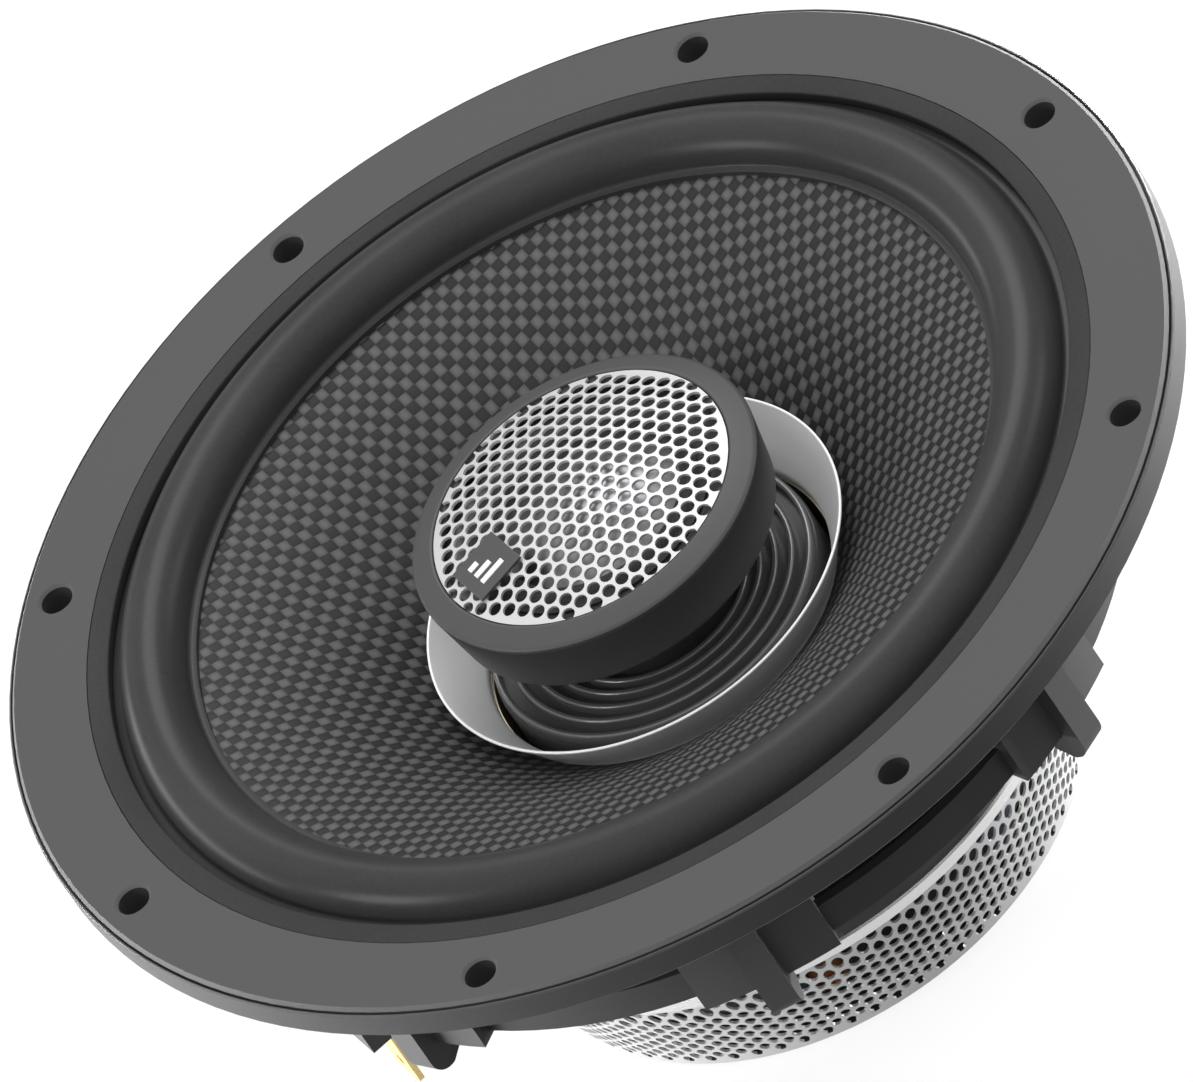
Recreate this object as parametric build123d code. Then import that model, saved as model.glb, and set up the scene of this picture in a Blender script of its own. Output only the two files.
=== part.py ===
from build123d import *
import math
import os

# Coaxial car speaker, 6.5 inch class. Millimetres, +Z towards the listener.
# The origin is the centre of the flange's rear face, which sits on the door panel.

# Flange and its bolt holes
FLANGE_R = 82.5
FLANGE_T = 5.0
FLANGE_CHAMFER = 0.7
FACE_R = 81.85
FACE_BEVEL = 0.45
RIM_TOP_Z = 4.4
RIM_BEVEL = 0.2
GROOVE_W = 0.3
GROOVE_BOTTOM_Z = 3.7
HOLE_COUNT = 8
BOLT_CIRCLE_R = 77.1
HOLE_R = 2.2
HOLE_EDGE_BREAK = 0.4

# Recess in the flange for the surround's lip and the gasket ring
RECESS_R = 71.1
RECESS_Z = 2.3
FRAME_MOUTH_R = 64.6

# Basket legs, half way between the bolt holes
LEG_COUNT = 8
LEG_PITCH = 360 / LEG_COUNT
LEG_OFFSET = LEG_PITCH / 2
LEG_R = 65.5
LEG_PLATE_T = 2.2
LEG_HALF_ANGLE = 8.5
LEG_BOTTOM_Z = -23.6
LEG_WALL_T = 1.6
LEG_WALL_INNER_R = 59.4
RIB_R = 68.2
RIB_W = 4.1
RIB_BOTTOM_Z = -28.0
RIB_CORNER_R = 3.2
COLLAR_DEPTH = 4.0

# Band that ties the legs together, and the arms below it
BAND_OUTER_R = 63.3
BAND_INNER_R = 61.8
BAND_TOP_Z = -18.1
BAND_BOTTOM_Z = -22.9
ARM_HALF_ANGLE = 7.0
ARM_WEB_T = 2.6
LEDGE_INNER_R = 48.2
LEDGE_OUTER_R = 52.5
LEDGE_TOP_Z = -28.6
LEDGE_T = 2.4
HUB_OUTER_R = 42.2
HUB_INNER_R = 33.0
HUB_T = 3.0

# Motor
FRONT_PLATE_TOP_Z = -40.0
FRONT_PLATE_T = 2.0
FRONT_PLATE_R = 46.0
FRONT_PLATE_BEVEL = 0.25
GAP_RING_T = 5.0
GAP_OUTER_R = 26.6
CUP_R = 32.0
CUP_WALL = 4.6
CUP_BASE_T = 5.2
BACK_Z = -60.2
POLE_R = 23.5
MAGNET_R = 22.4
POLE_T = 6.0
POST_BORE_R = 6.0
SHORTING_RING_R = 23.3
SHORTING_RING_T = 5.0
MOTOR_SCREW_COUNT = 8
MOTOR_SCREW_CIRCLE_R = 38.4
SCREW_HOLE_R = 1.6
SCREW_SHANK_R = 1.55
SCREW_HEAD_R = 2.9
SCREW_HEAD_TOP_R = 2.2
SCREW_HEAD_H = 1.8
NUT_RECESS_R = 9.0
NUT_RECESS_DEPTH = 3.0

# Perforated cover round the motor, under the front plate's edge
COVER_TOP_R = 45.4
COVER_BOTTOM_R = 39.7
COVER_BOTTOM_Z = -59.8
COVER_T = 0.7
COVER_LIP_R = CUP_R + 0.05

# Crossover inside the cover
BOARD_INNER_R = 33.0
BOARD_OUTER_R = 43.9
BOARD_T = 1.6
BOARD_GAP = 0.2
CAPACITOR_R = 3.2
CAPACITOR_H = 9.0
COMPONENT_CIRCLE_R = 36.9
BOARD_HOLE_R = 2.0
BOBBIN_R = 2.6
BOBBIN_FLANGE_R = 3.4
BOBBIN_FOOT_R = 3.2
BOBBIN_H = 8.0
BOBBIN_FLANGE_T = 1.0
RESISTOR_CIRCLE_R = 36.6
RESISTOR_SIZE = (5.0, 13.0, 6.0)

# Cone, collar and voice coil
CONE_OUTER_R = 56.2
CONE_OUTER_Z = 2.7
CONE_NECK_R = 25.2
CONE_NECK_Z = -16.5
CONE_BULGE = 2.3
CONE_T = 0.8
CONE_LAND_R = 58.0
COLLAR_RIM_R = 29.4
COLLAR_RIM_Z = -8.8
COLLAR_FOOT_R = 24.3
COLLAR_FOOT_Z = -17.9
COLLAR_T = 0.4
FORMER_INNER_R = 24.2
FORMER_OUTER_R = 24.6
FORMER_TOP_Z = COLLAR_FOOT_Z
FORMER_BOTTOM_Z = -48.0
COIL_OUTER_R = 25.7
COIL_TOP_Z = -37.5
COIL_BOTTOM_Z = -47.5

# Surround: a half roll between two lips
ROLL_CENTRE_R = 61.9
ROLL_R = 4.66
ROLL_T = 0.7
ROLL_BASE_Z = 3.35
SURROUND_OUTER_R = 70.9
GASKET_INNER_R = 68.0

# Spider
SPIDER_OUTER_R = 51.0
SPIDER_T = 0.6
SPIDER_Z = LEDGE_TOP_Z + SPIDER_T
SPIDER_WAVES = 6
SPIDER_WAVE_H = 1.6
SPIDER_LIP = 3.2

# Tweeter, carried on a post through the motor
RINGED_PLUG_R = 23.2
RINGED_PLUG_TOP_Z = -15.3
PLUG_WALL = 1.8
PLUG_TOP_T = 2.0
PLUG_BORE_WALL = 2.0
RIDGE_H = 1.5
RIDGE_W = 1.4
RIDGE_RADII = (22.4, 19.9, 17.6, 15.4, 13.4)
RIDGE_CREST_HALF_W = 0.12
POST_INNER_R = 2.2
BOLT_R = 2.0
BOLT_HEAD_R = 3.6
BOLT_HEAD_H = 1.3
NUT_R = 4.4
NUT_T = 2.6
NUT_GAP = 0.4
STEM_R = 11.4
HOUSING_BOTTOM_Z = -4.1
HOUSING_BOTTOM_R = 23.1
HOUSING_TOP_Z = 5.3
HOUSING_TOP_R = 24.4
HOUSING_WALL = 1.5
HOUSING_CORNER = 1.2
TWEETER_YOKE_R = 16.5
TWEETER_YOKE_INNER_R = 13.7
TWEETER_YOKE_BORE_R = 4.0
TWEETER_YOKE_T = 1.5
TWEETER_YOKE_TOP_Z = 2.4
TWEETER_MAGNET_R = 11.4
TWEETER_MAGNET_T = 1.8
TWEETER_POLE_R = 12.2
BEZEL_INNER_R = 20.9
BEZEL_LIP_R = 19.9
BEZEL_LIP_DROP = 0.7
BEZEL_FRONT_Z = 6.8
GRILLE_RISE = 2.6
GRILLE_T = 0.5
TWEETER_DOME_R = 12.9
TWEETER_DOME_RISE = 3.4
TWEETER_DOME_T = 0.3
TWEETER_COIL_RADII = (12.6, 12.75, 13.15)
TWEETER_COIL_BOTTOM_Z = 0.9
DOME_ROLL_R = 14.6
DOME_EDGE_R = 17.0
FACEPLATE_R = 22.2
FACEPLATE_SLOPE_R = 17.5
FACEPLATE_BORE_R = 13.8
FACEPLATE_TOP_Z = 3.9
BADGE_SIZE = 7.5
BADGE_T = 0.4
BADGE_R = 15.0

# Terminal block in the window at azimuth 180
TERMINAL_W = 24.0
TERMINAL_INNER_R = 57.2
TERMINAL_OUTER_R = 65.0
TERMINAL_BOTTOM_Z = -31.0
TERMINAL_TOP_Z = -16.5
TERMINAL_PLATE_T = 1.4
TAB_R = 61.6
TAB_SPACING = 15.0
TAB_TIP_Z = -41.8
TAB_T = 0.8
TAB_POSITIVE_W = 6.3
TAB_NEGATIVE_W = 4.8
TAB_HOLE_R = 0.8
TAB_HOLE_FROM_TIP = 3.2
TAB_TIP_CHAMFER = 1.0
TAB_TOP_DEPTH = 2.0
RIVET_R = 1.5
RIVET_L = 5.6
RIVET_HEAD_R = 2.6
RIVET_HEAD_TOP_R = 1.6
RIVET_HEAD_H = 1.0
LEAD_R = 0.6
LEAD_START_Z = -25.4
LEAD_BEND_R = 1.8

# Fit between parts that share a face on a curve
FIT = 0.05


def turned(points):
    """Solid of revolution about Z from a closed (r, z) outline."""
    with BuildPart() as solid:
        with BuildSketch(Plane.XZ):
            with BuildLine():
                Polyline(*points, close=True)
            make_face()
        revolve(axis=Axis.Z)
    return solid.part


def ring(inner, outer, bottom, top):
    """Plain ring, or a disc where the inner radius is 0."""
    return turned([(inner, bottom), (outer, bottom), (outer, top), (inner, top)])


def rod(radius, bottom, top, x=0.0, y=0.0):
    """Upright cylinder."""
    return Pos(x, y, (bottom + top) / 2) * Cylinder(radius, top - bottom)


def on_circle(radius, azimuth):
    angle = math.radians(azimuth)
    return radius * math.cos(angle), radius * math.sin(angle)


def sector(inner, outer, bottom, top, half_angle):
    """Part of a ring, centred on azimuth 0."""
    edge = outer / math.cos(math.radians(half_angle)) + 1
    with BuildSketch() as wedge:
        with BuildLine():
            Polyline((0, 0), on_circle(edge, -half_angle), on_circle(edge, half_angle), close=True)
        make_face()
    block = Pos(0, 0, bottom) * extrude(wedge.sketch, top - bottom)
    return ring(inner, outer, bottom, top) & block


def radial_web(points, thickness):
    """Upright plate along azimuth 0 from an (r, z) outline."""
    with BuildPart() as web:
        with BuildSketch(Plane.XZ):
            with BuildLine():
                Polyline(*points, close=True)
            make_face()
        extrude(amount=thickness / 2, both=True)
    return web.part


def cone_height(r):
    """Height of the cone's front face: a straight flare with an even bulge."""
    share = (r - CONE_NECK_R) / (CONE_OUTER_R - CONE_NECK_R)
    straight = CONE_NECK_Z + (CONE_OUTER_Z - CONE_NECK_Z) * share
    return straight + 4 * CONE_BULGE * share * (1 - share)


def rib_web():
    """Outward rib at azimuth 0 with a rounded lower corner."""
    corner_r, corner_z = RIB_R - RIB_CORNER_R, RIB_BOTTOM_Z + RIB_CORNER_R
    slant = RIB_CORNER_R * math.sqrt(0.5)
    with BuildPart() as web:
        with BuildSketch(Plane.XZ):
            with BuildLine():
                Polyline((corner_r, RIB_BOTTOM_Z), (LEG_R - 3, RIB_BOTTOM_Z + 1.2),
                         (LEG_R - LEG_PLATE_T - 1, LEG_BOTTOM_Z + 1), (LEG_R - 1, LEG_BOTTOM_Z + 2),
                         (LEG_R - 1, 0.5), (RIB_R, 0.5), (RIB_R, corner_z))
                ThreePointArc((RIB_R, corner_z), (corner_r + slant, corner_z - slant),
                              (corner_r, RIB_BOTTOM_Z))
            make_face()
        extrude(amount=RIB_W / 2, both=True)
    return web.part


def leg():
    """One leg at azimuth 0: curved plate, side walls, rib, and the arm down to the hub."""
    plate = sector(LEG_R - LEG_PLATE_T, LEG_R, LEG_BOTTOM_Z, 0.5, LEG_HALF_ANGLE)
    channel = sector(LEG_WALL_INNER_R, LEG_R, LEG_BOTTOM_Z, 0.5, LEG_HALF_ANGLE)
    inner_half = LEG_HALF_ANGLE - math.degrees(LEG_WALL_T / LEG_R)
    hollow = sector(LEG_WALL_INNER_R - 1, LEG_R - LEG_PLATE_T, LEG_BOTTOM_Z - 1, 1.0, inner_half)
    return plate + (channel - hollow) + rib_web()


def arm():
    """Arm at azimuth 0 from the leg's foot to the hub, along the cover's slope."""
    hub_top = FRONT_PLATE_TOP_Z + HUB_T
    slab = turned([(LEG_R - LEG_PLATE_T, LEG_BOTTOM_Z), (LEG_R - LEG_PLATE_T, LEG_BOTTOM_Z + 3.2),
                   (HUB_OUTER_R - 2, hub_top), (HUB_OUTER_R - 2, FRONT_PLATE_TOP_Z + 0.5),
                   (HUB_OUTER_R, FRONT_PLATE_TOP_Z + 0.5), (LEG_R - LEG_PLATE_T - 2, LEG_BOTTOM_Z)])
    wedge = sector(1, LEG_R + 5, FRONT_PLATE_TOP_Z - 1, 0, ARM_HALF_ANGLE)
    web = radial_web([(LEG_R - LEG_PLATE_T, LEG_BOTTOM_Z), (LEG_R - LEG_PLATE_T, BAND_TOP_Z),
                      (LEDGE_OUTER_R, LEDGE_TOP_Z - 0.3), (LEDGE_INNER_R, LEDGE_TOP_Z - 0.3),
                      (HUB_OUTER_R - 3, hub_top), (HUB_OUTER_R - 3, FRONT_PLATE_TOP_Z + 0.5),
                      (HUB_OUTER_R, FRONT_PLATE_TOP_Z + 0.5)], ARM_WEB_T)
    return (slab & wedge) + web


def basket():
    flange = turned([(FRAME_MOUTH_R, 0), (FLANGE_R - FLANGE_CHAMFER, 0), (FLANGE_R, FLANGE_CHAMFER),
                     (FLANGE_R, RIM_TOP_Z - RIM_BEVEL), (FLANGE_R - RIM_BEVEL, RIM_TOP_Z),
                     (FACE_R + GROOVE_W, RIM_TOP_Z), (FACE_R + GROOVE_W, GROOVE_BOTTOM_Z),
                     (FACE_R, GROOVE_BOTTOM_Z), (FACE_R, FLANGE_T - FACE_BEVEL),
                     (FACE_R - FACE_BEVEL, FLANGE_T),
                     (RECESS_R, FLANGE_T), (RECESS_R, RECESS_Z), (FRAME_MOUTH_R, RECESS_Z)])
    neck = ring(LEG_R - LEG_PLATE_T, LEG_R, -COLLAR_DEPTH, 0.5)
    shoulder = ring(LEG_R - 1.5, LEG_R + 3, -1.5, 0.5)
    band = ring(BAND_INNER_R, BAND_OUTER_R, BAND_BOTTOM_Z, BAND_TOP_Z)
    ledge = ring(LEDGE_INNER_R, LEDGE_OUTER_R, LEDGE_TOP_Z - LEDGE_T, LEDGE_TOP_Z)
    hub = ring(HUB_INNER_R, HUB_OUTER_R, FRONT_PLATE_TOP_Z, FRONT_PLATE_TOP_Z + HUB_T)
    frame = flange + neck + shoulder + band + ledge + hub
    spoke = leg() + arm()
    for index in range(LEG_COUNT):
        frame += Rot(0, 0, LEG_OFFSET + index * LEG_PITCH) * spoke
    frame -= ring(0, FRAME_MOUTH_R - 0.6, -COLLAR_DEPTH, RECESS_Z + 1) & ring(0, 60, -1, RECESS_Z + 1)
    for index in range(HOLE_COUNT):
        x, y = on_circle(BOLT_CIRCLE_R, index * 360 / HOLE_COUNT)
        frame -= rod(HOLE_R, -1, FLANGE_T + 1, x, y)
        sink = Cone(HOLE_R, HOLE_R + HOLE_EDGE_BREAK, HOLE_EDGE_BREAK)
        frame -= Pos(x, y, FLANGE_T - HOLE_EDGE_BREAK / 2) * sink
    for index in range(MOTOR_SCREW_COUNT):
        x, y = on_circle(MOTOR_SCREW_CIRCLE_R, index * 360 / MOTOR_SCREW_COUNT)
        frame -= rod(SCREW_HOLE_R, FRONT_PLATE_TOP_Z - 1, FRONT_PLATE_TOP_Z + HUB_T + 1, x, y)
    for side in (-1, 1):
        frame -= rivet_hole(side)
    return frame


def rivet_hole(side):
    """Radial hole for a terminal rivet, in the wall at azimuth 180."""
    middle_z = (BAND_TOP_Z + BAND_BOTTOM_Z) / 2
    hole = Cylinder(RIVET_R, 20, rotation=(0, 90, 0))
    return Pos(-LEG_R, side * TERMINAL_W / 3, middle_z) * hole


def gasket_ring():
    lip_top = RECESS_Z + ROLL_T + 0.35
    return ring(GASKET_INNER_R, RECESS_R - FIT, lip_top, FLANGE_T)


def surround():
    """Half roll with an outer lip under the gasket and an inner lip on the cone."""
    top = ROLL_BASE_Z
    outer = ROLL_R
    inner = ROLL_R - ROLL_T
    with BuildPart() as part:
        with BuildSketch(Plane.XZ):
            with BuildLine():
                Polyline((ROLL_CENTRE_R - inner, top - ROLL_T), (CONE_OUTER_R, top - ROLL_T),
                         (CONE_OUTER_R, top), (ROLL_CENTRE_R - outer, top))
                ThreePointArc((ROLL_CENTRE_R - outer, top), (ROLL_CENTRE_R, top + outer),
                              (ROLL_CENTRE_R + outer, top))
                Polyline((ROLL_CENTRE_R + outer, top), (SURROUND_OUTER_R, top),
                         (SURROUND_OUTER_R, RECESS_Z), (ROLL_CENTRE_R + inner, RECESS_Z),
                         (ROLL_CENTRE_R + inner, top))
                ThreePointArc((ROLL_CENTRE_R + inner, top), (ROLL_CENTRE_R, top + inner),
                              (ROLL_CENTRE_R - inner, top))
                Line((ROLL_CENTRE_R - inner, top), (ROLL_CENTRE_R - inner, top - ROLL_T))
            make_face()
        revolve(axis=Axis.Z)
    return part.part


def cone():
    """Curved woven cone with a flat land under the surround's inner lip."""
    middle = (CONE_NECK_R + CONE_OUTER_R) / 2
    crown = cone_height(middle)
    top = CONE_OUTER_Z - FIT
    back_neck_z = CONE_NECK_Z - 1.1 * CONE_T
    with BuildPart() as part:
        with BuildSketch(Plane.XZ):
            with BuildLine():
                ThreePointArc((CONE_NECK_R, CONE_NECK_Z), (middle, crown), (CONE_OUTER_R, top))
                Polyline((CONE_OUTER_R, top), (CONE_LAND_R, top), (CONE_LAND_R, top - CONE_T),
                         (CONE_OUTER_R + 0.3, top - CONE_T))
                ThreePointArc((CONE_OUTER_R + 0.3, top - CONE_T), (middle + 0.4, crown - CONE_T),
                              (CONE_NECK_R, back_neck_z))
                Line((CONE_NECK_R, back_neck_z), (CONE_NECK_R, CONE_NECK_Z))
            make_face()
        revolve(axis=Axis.Z)
    return part.part


def cone_collar():
    """Flared metal collar bonded into the cone's neck."""
    return turned([(COLLAR_FOOT_R, COLLAR_FOOT_Z), (CONE_NECK_R - FIT, COLLAR_FOOT_Z),
                   (CONE_NECK_R - FIT, CONE_NECK_Z + 0.1), (COLLAR_RIM_R, COLLAR_RIM_Z - 0.5),
                   (COLLAR_RIM_R, COLLAR_RIM_Z), (COLLAR_RIM_R - COLLAR_T, COLLAR_RIM_Z),
                   (COLLAR_FOOT_R, CONE_NECK_Z)])


def coil_former():
    return ring(FORMER_INNER_R, FORMER_OUTER_R, FORMER_BOTTOM_Z, FORMER_TOP_Z)


def voice_coil():
    return ring(FORMER_OUTER_R, COIL_OUTER_R, COIL_BOTTOM_Z, COIL_TOP_Z)


def spider():
    """Corrugated suspension disc between the former and the basket's ledge."""
    start = FORMER_OUTER_R + 1.4
    finish = SPIDER_OUTER_R - SPIDER_LIP
    step = (finish - start) / (2 * SPIDER_WAVES)
    crests = [(start + step * (index + 0.5), SPIDER_WAVE_H / 2 * (1 if index % 2 else -1))
              for index in range(2 * SPIDER_WAVES)]
    route = [(start, 0)] + crests + [(finish, 0), (SPIDER_OUTER_R, 0)]
    upper = [(FORMER_OUTER_R, SPIDER_T)] + [(r, z + SPIDER_T) for r, z in route]
    lower = [(FORMER_OUTER_R, 0)] + route
    outline = upper + lower[::-1]
    return turned([(r, z + SPIDER_Z - SPIDER_T) for r, z in outline])


def front_plate():
    """Bright steel plate on the cup, with the outer side of the magnetic gap."""
    top = FRONT_PLATE_TOP_Z
    under = top - FRONT_PLATE_T
    gap_bottom = top - GAP_RING_T
    bevel = FRONT_PLATE_BEVEL
    plate = turned([(GAP_OUTER_R, gap_bottom), (CUP_R, gap_bottom), (CUP_R, under),
                    (FRONT_PLATE_R - bevel, under), (FRONT_PLATE_R, under + bevel),
                    (FRONT_PLATE_R, top - bevel), (FRONT_PLATE_R - bevel, top), (GAP_OUTER_R, top)])
    for index in range(MOTOR_SCREW_COUNT):
        x, y = on_circle(MOTOR_SCREW_CIRCLE_R, index * 360 / MOTOR_SCREW_COUNT)
        plate -= rod(SCREW_HOLE_R, gap_bottom, top + 1, x, y)
    return plate


def motor_screws():
    """Eight pan head screws through the basket hub into the front plate."""
    top = FRONT_PLATE_TOP_Z + HUB_T
    screws = []
    for index in range(MOTOR_SCREW_COUNT):
        x, y = on_circle(MOTOR_SCREW_CIRCLE_R, index * 360 / MOTOR_SCREW_COUNT)
        shank = rod(SCREW_SHANK_R, FRONT_PLATE_TOP_Z - FRONT_PLATE_T, top, x, y)
        head = Pos(x, y, top + SCREW_HEAD_H / 2) * Cone(SCREW_HEAD_R, SCREW_HEAD_TOP_R, SCREW_HEAD_H)
        screws.append(shank + head)
    return Compound(children=screws)


def yoke_cup():
    """Steel cup that closes the magnetic circuit, recessed for the post's nut."""
    wall_top = FRONT_PLATE_TOP_Z - GAP_RING_T
    base_top = BACK_Z + CUP_BASE_T
    recess_z = BACK_Z + NUT_RECESS_DEPTH
    return turned([(POST_BORE_R, recess_z), (NUT_RECESS_R, recess_z), (NUT_RECESS_R, BACK_Z),
                   (CUP_R - 0.8, BACK_Z), (CUP_R, BACK_Z + 0.8), (CUP_R, wall_top),
                   (CUP_R - CUP_WALL, wall_top), (CUP_R - CUP_WALL, base_top), (POST_BORE_R, base_top)])


def motor_magnet():
    return ring(POST_BORE_R, MAGNET_R, BACK_Z + CUP_BASE_T, FRONT_PLATE_TOP_Z - POLE_T)


def pole_plate():
    return ring(POST_BORE_R, POLE_R, FRONT_PLATE_TOP_Z - POLE_T, FRONT_PLATE_TOP_Z)


def shorting_ring():
    top = FRONT_PLATE_TOP_Z - POLE_T
    return ring(MAGNET_R + FIT, SHORTING_RING_R, top - SHORTING_RING_T, top)


def mesh_cover():
    """Tapered cover round the motor with a turned-in lip at the back."""
    top = FRONT_PLATE_TOP_Z - FRONT_PLATE_T
    bottom = COVER_BOTTOM_Z
    return turned([(COVER_LIP_R, bottom), (COVER_BOTTOM_R, bottom), (COVER_TOP_R, top),
                   (COVER_TOP_R - COVER_T, top), (COVER_BOTTOM_R - COVER_T, bottom + COVER_T),
                   (COVER_LIP_R, bottom + COVER_T)])


def crossover_board():
    top = FRONT_PLATE_TOP_Z - FRONT_PLATE_T - BOARD_GAP
    board = ring(BOARD_INNER_R, BOARD_OUTER_R, top - BOARD_T, top)
    for index in range(MOTOR_SCREW_COUNT):
        x, y = on_circle(MOTOR_SCREW_CIRCLE_R, index * 360 / MOTOR_SCREW_COUNT)
        board -= rod(BOARD_HOLE_R, top - BOARD_T - 1, top + 1, x, y)
    return board


def board_under_z():
    return FRONT_PLATE_TOP_Z - FRONT_PLATE_T - BOARD_GAP - BOARD_T


def crossover_capacitors():
    """Two upright film capacitors under the board."""
    under = board_under_z()
    cans = []
    for azimuth in (292.5, 337.5):
        x, y = on_circle(COMPONENT_CIRCLE_R, azimuth)
        cans.append(rod(CAPACITOR_R, under - CAPACITOR_H, under, x, y))
    return Compound(children=cans)


def crossover_inductor():
    """Wound bobbin under the board."""
    under = board_under_z()
    x, y = on_circle(COMPONENT_CIRCLE_R, 247.5)
    foot = under - BOBBIN_H
    flange = rod(BOBBIN_FLANGE_R, under - BOBBIN_FLANGE_T, under, x, y)
    flange += rod(BOBBIN_FOOT_R, foot, foot + BOBBIN_FLANGE_T, x, y)
    return flange + rod(BOBBIN_R, foot + BOBBIN_FLANGE_T / 2, under - BOBBIN_FLANGE_T / 2, x, y)


def crossover_resistor():
    """Ceramic block resistor under the board."""
    middle_z = board_under_z() - RESISTOR_SIZE[2] / 2
    return Rot(0, 0, 202.5) * Pos(RESISTOR_CIRCLE_R, 0, middle_z) * Box(*RESISTOR_SIZE)


def ringed_plug():
    """Hollow plug inside the voice coil, with concentric ridges on its top."""
    top = RINGED_PLUG_TOP_Z
    base = FRONT_PLATE_TOP_Z
    inner = RINGED_PLUG_R - PLUG_WALL
    bore_wall = POST_BORE_R + PLUG_BORE_WALL
    plug = turned([(inner, base), (RINGED_PLUG_R, base), (RINGED_PLUG_R, top),
                   (POST_BORE_R, top), (POST_BORE_R, base), (bore_wall, base),
                   (bore_wall, top - PLUG_TOP_T), (inner, top - PLUG_TOP_T)])
    for radius in RIDGE_RADII:
        plug += turned([(radius - RIDGE_W / 2, top - 0.5), (radius + RIDGE_W / 2, top - 0.5),
                        (radius + RIDGE_CREST_HALF_W, top + RIDGE_H),
                        (radius - RIDGE_CREST_HALF_W, top + RIDGE_H)])
    return plug


def tweeter_post():
    """Tube through the magnet and the plug that carries the tweeter."""
    return ring(POST_INNER_R, POST_BORE_R - FIT, BACK_Z + NUT_RECESS_DEPTH, RINGED_PLUG_TOP_Z)


def tweeter_stem():
    """Waisted stem under the tweeter housing."""
    top = HOUSING_BOTTOM_Z
    return turned([(POST_INNER_R, RINGED_PLUG_TOP_Z), (STEM_R, RINGED_PLUG_TOP_Z),
                   (STEM_R - 1.2, top - 4), (STEM_R + 1.5, top - 1.2), (STEM_R + 1.5, top),
                   (POST_INNER_R, top)])


def tweeter_bolt():
    """Long bolt from the tweeter's floor to the nut in the back of the cup."""
    head_z = HOUSING_BOTTOM_Z + HOUSING_WALL
    return rod(BOLT_R, BACK_Z + NUT_GAP, head_z) + rod(BOLT_HEAD_R, head_z, head_z + BOLT_HEAD_H)


def tweeter_nut():
    nut = extrude(RegularPolygon(NUT_R, 6), NUT_T)
    return Pos(0, 0, BACK_Z + NUT_GAP) * nut - rod(BOLT_R + FIT, BACK_Z - 1, BACK_Z + 5)


def tweeter_housing():
    """Round cup with a thin floor and a slightly flared wall."""
    floor = HOUSING_BOTTOM_Z
    inside = floor + HOUSING_WALL
    return turned([(POST_INNER_R, floor), (HOUSING_BOTTOM_R - HOUSING_CORNER, floor),
                   (HOUSING_BOTTOM_R, floor + HOUSING_CORNER), (HOUSING_TOP_R, HOUSING_TOP_Z),
                   (HOUSING_TOP_R - HOUSING_WALL, HOUSING_TOP_Z),
                   (HOUSING_BOTTOM_R - HOUSING_WALL, inside), (POST_INNER_R, inside)])


def tweeter_bezel():
    """Front ring of the tweeter, a shallow cone round the grille."""
    lip_z = BEZEL_FRONT_Z - BEZEL_LIP_DROP
    return turned([(BEZEL_LIP_R, HOUSING_TOP_Z), (HOUSING_TOP_R, HOUSING_TOP_Z),
                   (HOUSING_TOP_R - 0.3, HOUSING_TOP_Z + 0.3), (BEZEL_INNER_R + 0.1, BEZEL_FRONT_Z),
                   (BEZEL_INNER_R + 0.1, lip_z), (BEZEL_LIP_R, lip_z)])


def domed_cap(radius, rise, thickness, base_z):
    """Thin spherical cap, as a closed shell."""
    with BuildPart() as cap:
        with BuildSketch(Plane.XZ):
            with BuildLine():
                sphere_r = (radius ** 2 + rise ** 2) / (2 * rise)
                half = math.asin(radius / sphere_r) / 2
                middle = (sphere_r * math.sin(half), base_z + rise - sphere_r * (1 - math.cos(half)))
                ThreePointArc((radius, base_z), middle, (0, base_z + rise))
                Line((0, base_z + rise), (0, base_z + rise - thickness))
                ThreePointArc((0, base_z + rise - thickness), (middle[0], middle[1] - thickness),
                              (radius, base_z - thickness))
                Line((radius, base_z - thickness), (radius, base_z))
            make_face()
        revolve(axis=Axis.Z)
    return cap.part


def tweeter_grille():
    return domed_cap(BEZEL_INNER_R, GRILLE_RISE, GRILLE_T, BEZEL_FRONT_Z - 0.1)


def grille_badge():
    """Thin square tile on the domed grille, on the terminals' side."""
    sphere_r = (BEZEL_INNER_R ** 2 + GRILLE_RISE ** 2) / (2 * GRILLE_RISE)
    tilt = math.degrees(math.asin(BADGE_R / sphere_r))
    centre_z = BEZEL_FRONT_Z - 0.1 + GRILLE_RISE - sphere_r
    tile = Pos(0, 0, sphere_r + FIT + BADGE_T / 2) * Box(BADGE_SIZE, BADGE_SIZE, BADGE_T)
    return Pos(0, 0, centre_z) * Rot(0, -tilt, 0) * tile


def tweeter_yoke():
    """Steel cup round the tweeter's magnet."""
    bottom = HOUSING_BOTTOM_Z + HOUSING_WALL
    floor = bottom + TWEETER_YOKE_T
    return turned([(TWEETER_YOKE_BORE_R, bottom), (TWEETER_YOKE_R, bottom),
                   (TWEETER_YOKE_R, TWEETER_YOKE_TOP_Z), (TWEETER_YOKE_INNER_R, TWEETER_YOKE_TOP_Z),
                   (TWEETER_YOKE_INNER_R, floor), (TWEETER_YOKE_BORE_R, floor)])


def tweeter_magnet():
    bottom = HOUSING_BOTTOM_Z + HOUSING_WALL + TWEETER_YOKE_T
    return ring(0, TWEETER_MAGNET_R, bottom, bottom + TWEETER_MAGNET_T)


def tweeter_pole():
    bottom = HOUSING_BOTTOM_Z + HOUSING_WALL + TWEETER_YOKE_T + TWEETER_MAGNET_T
    return ring(0, TWEETER_POLE_R, bottom, TWEETER_YOKE_TOP_Z)


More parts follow.
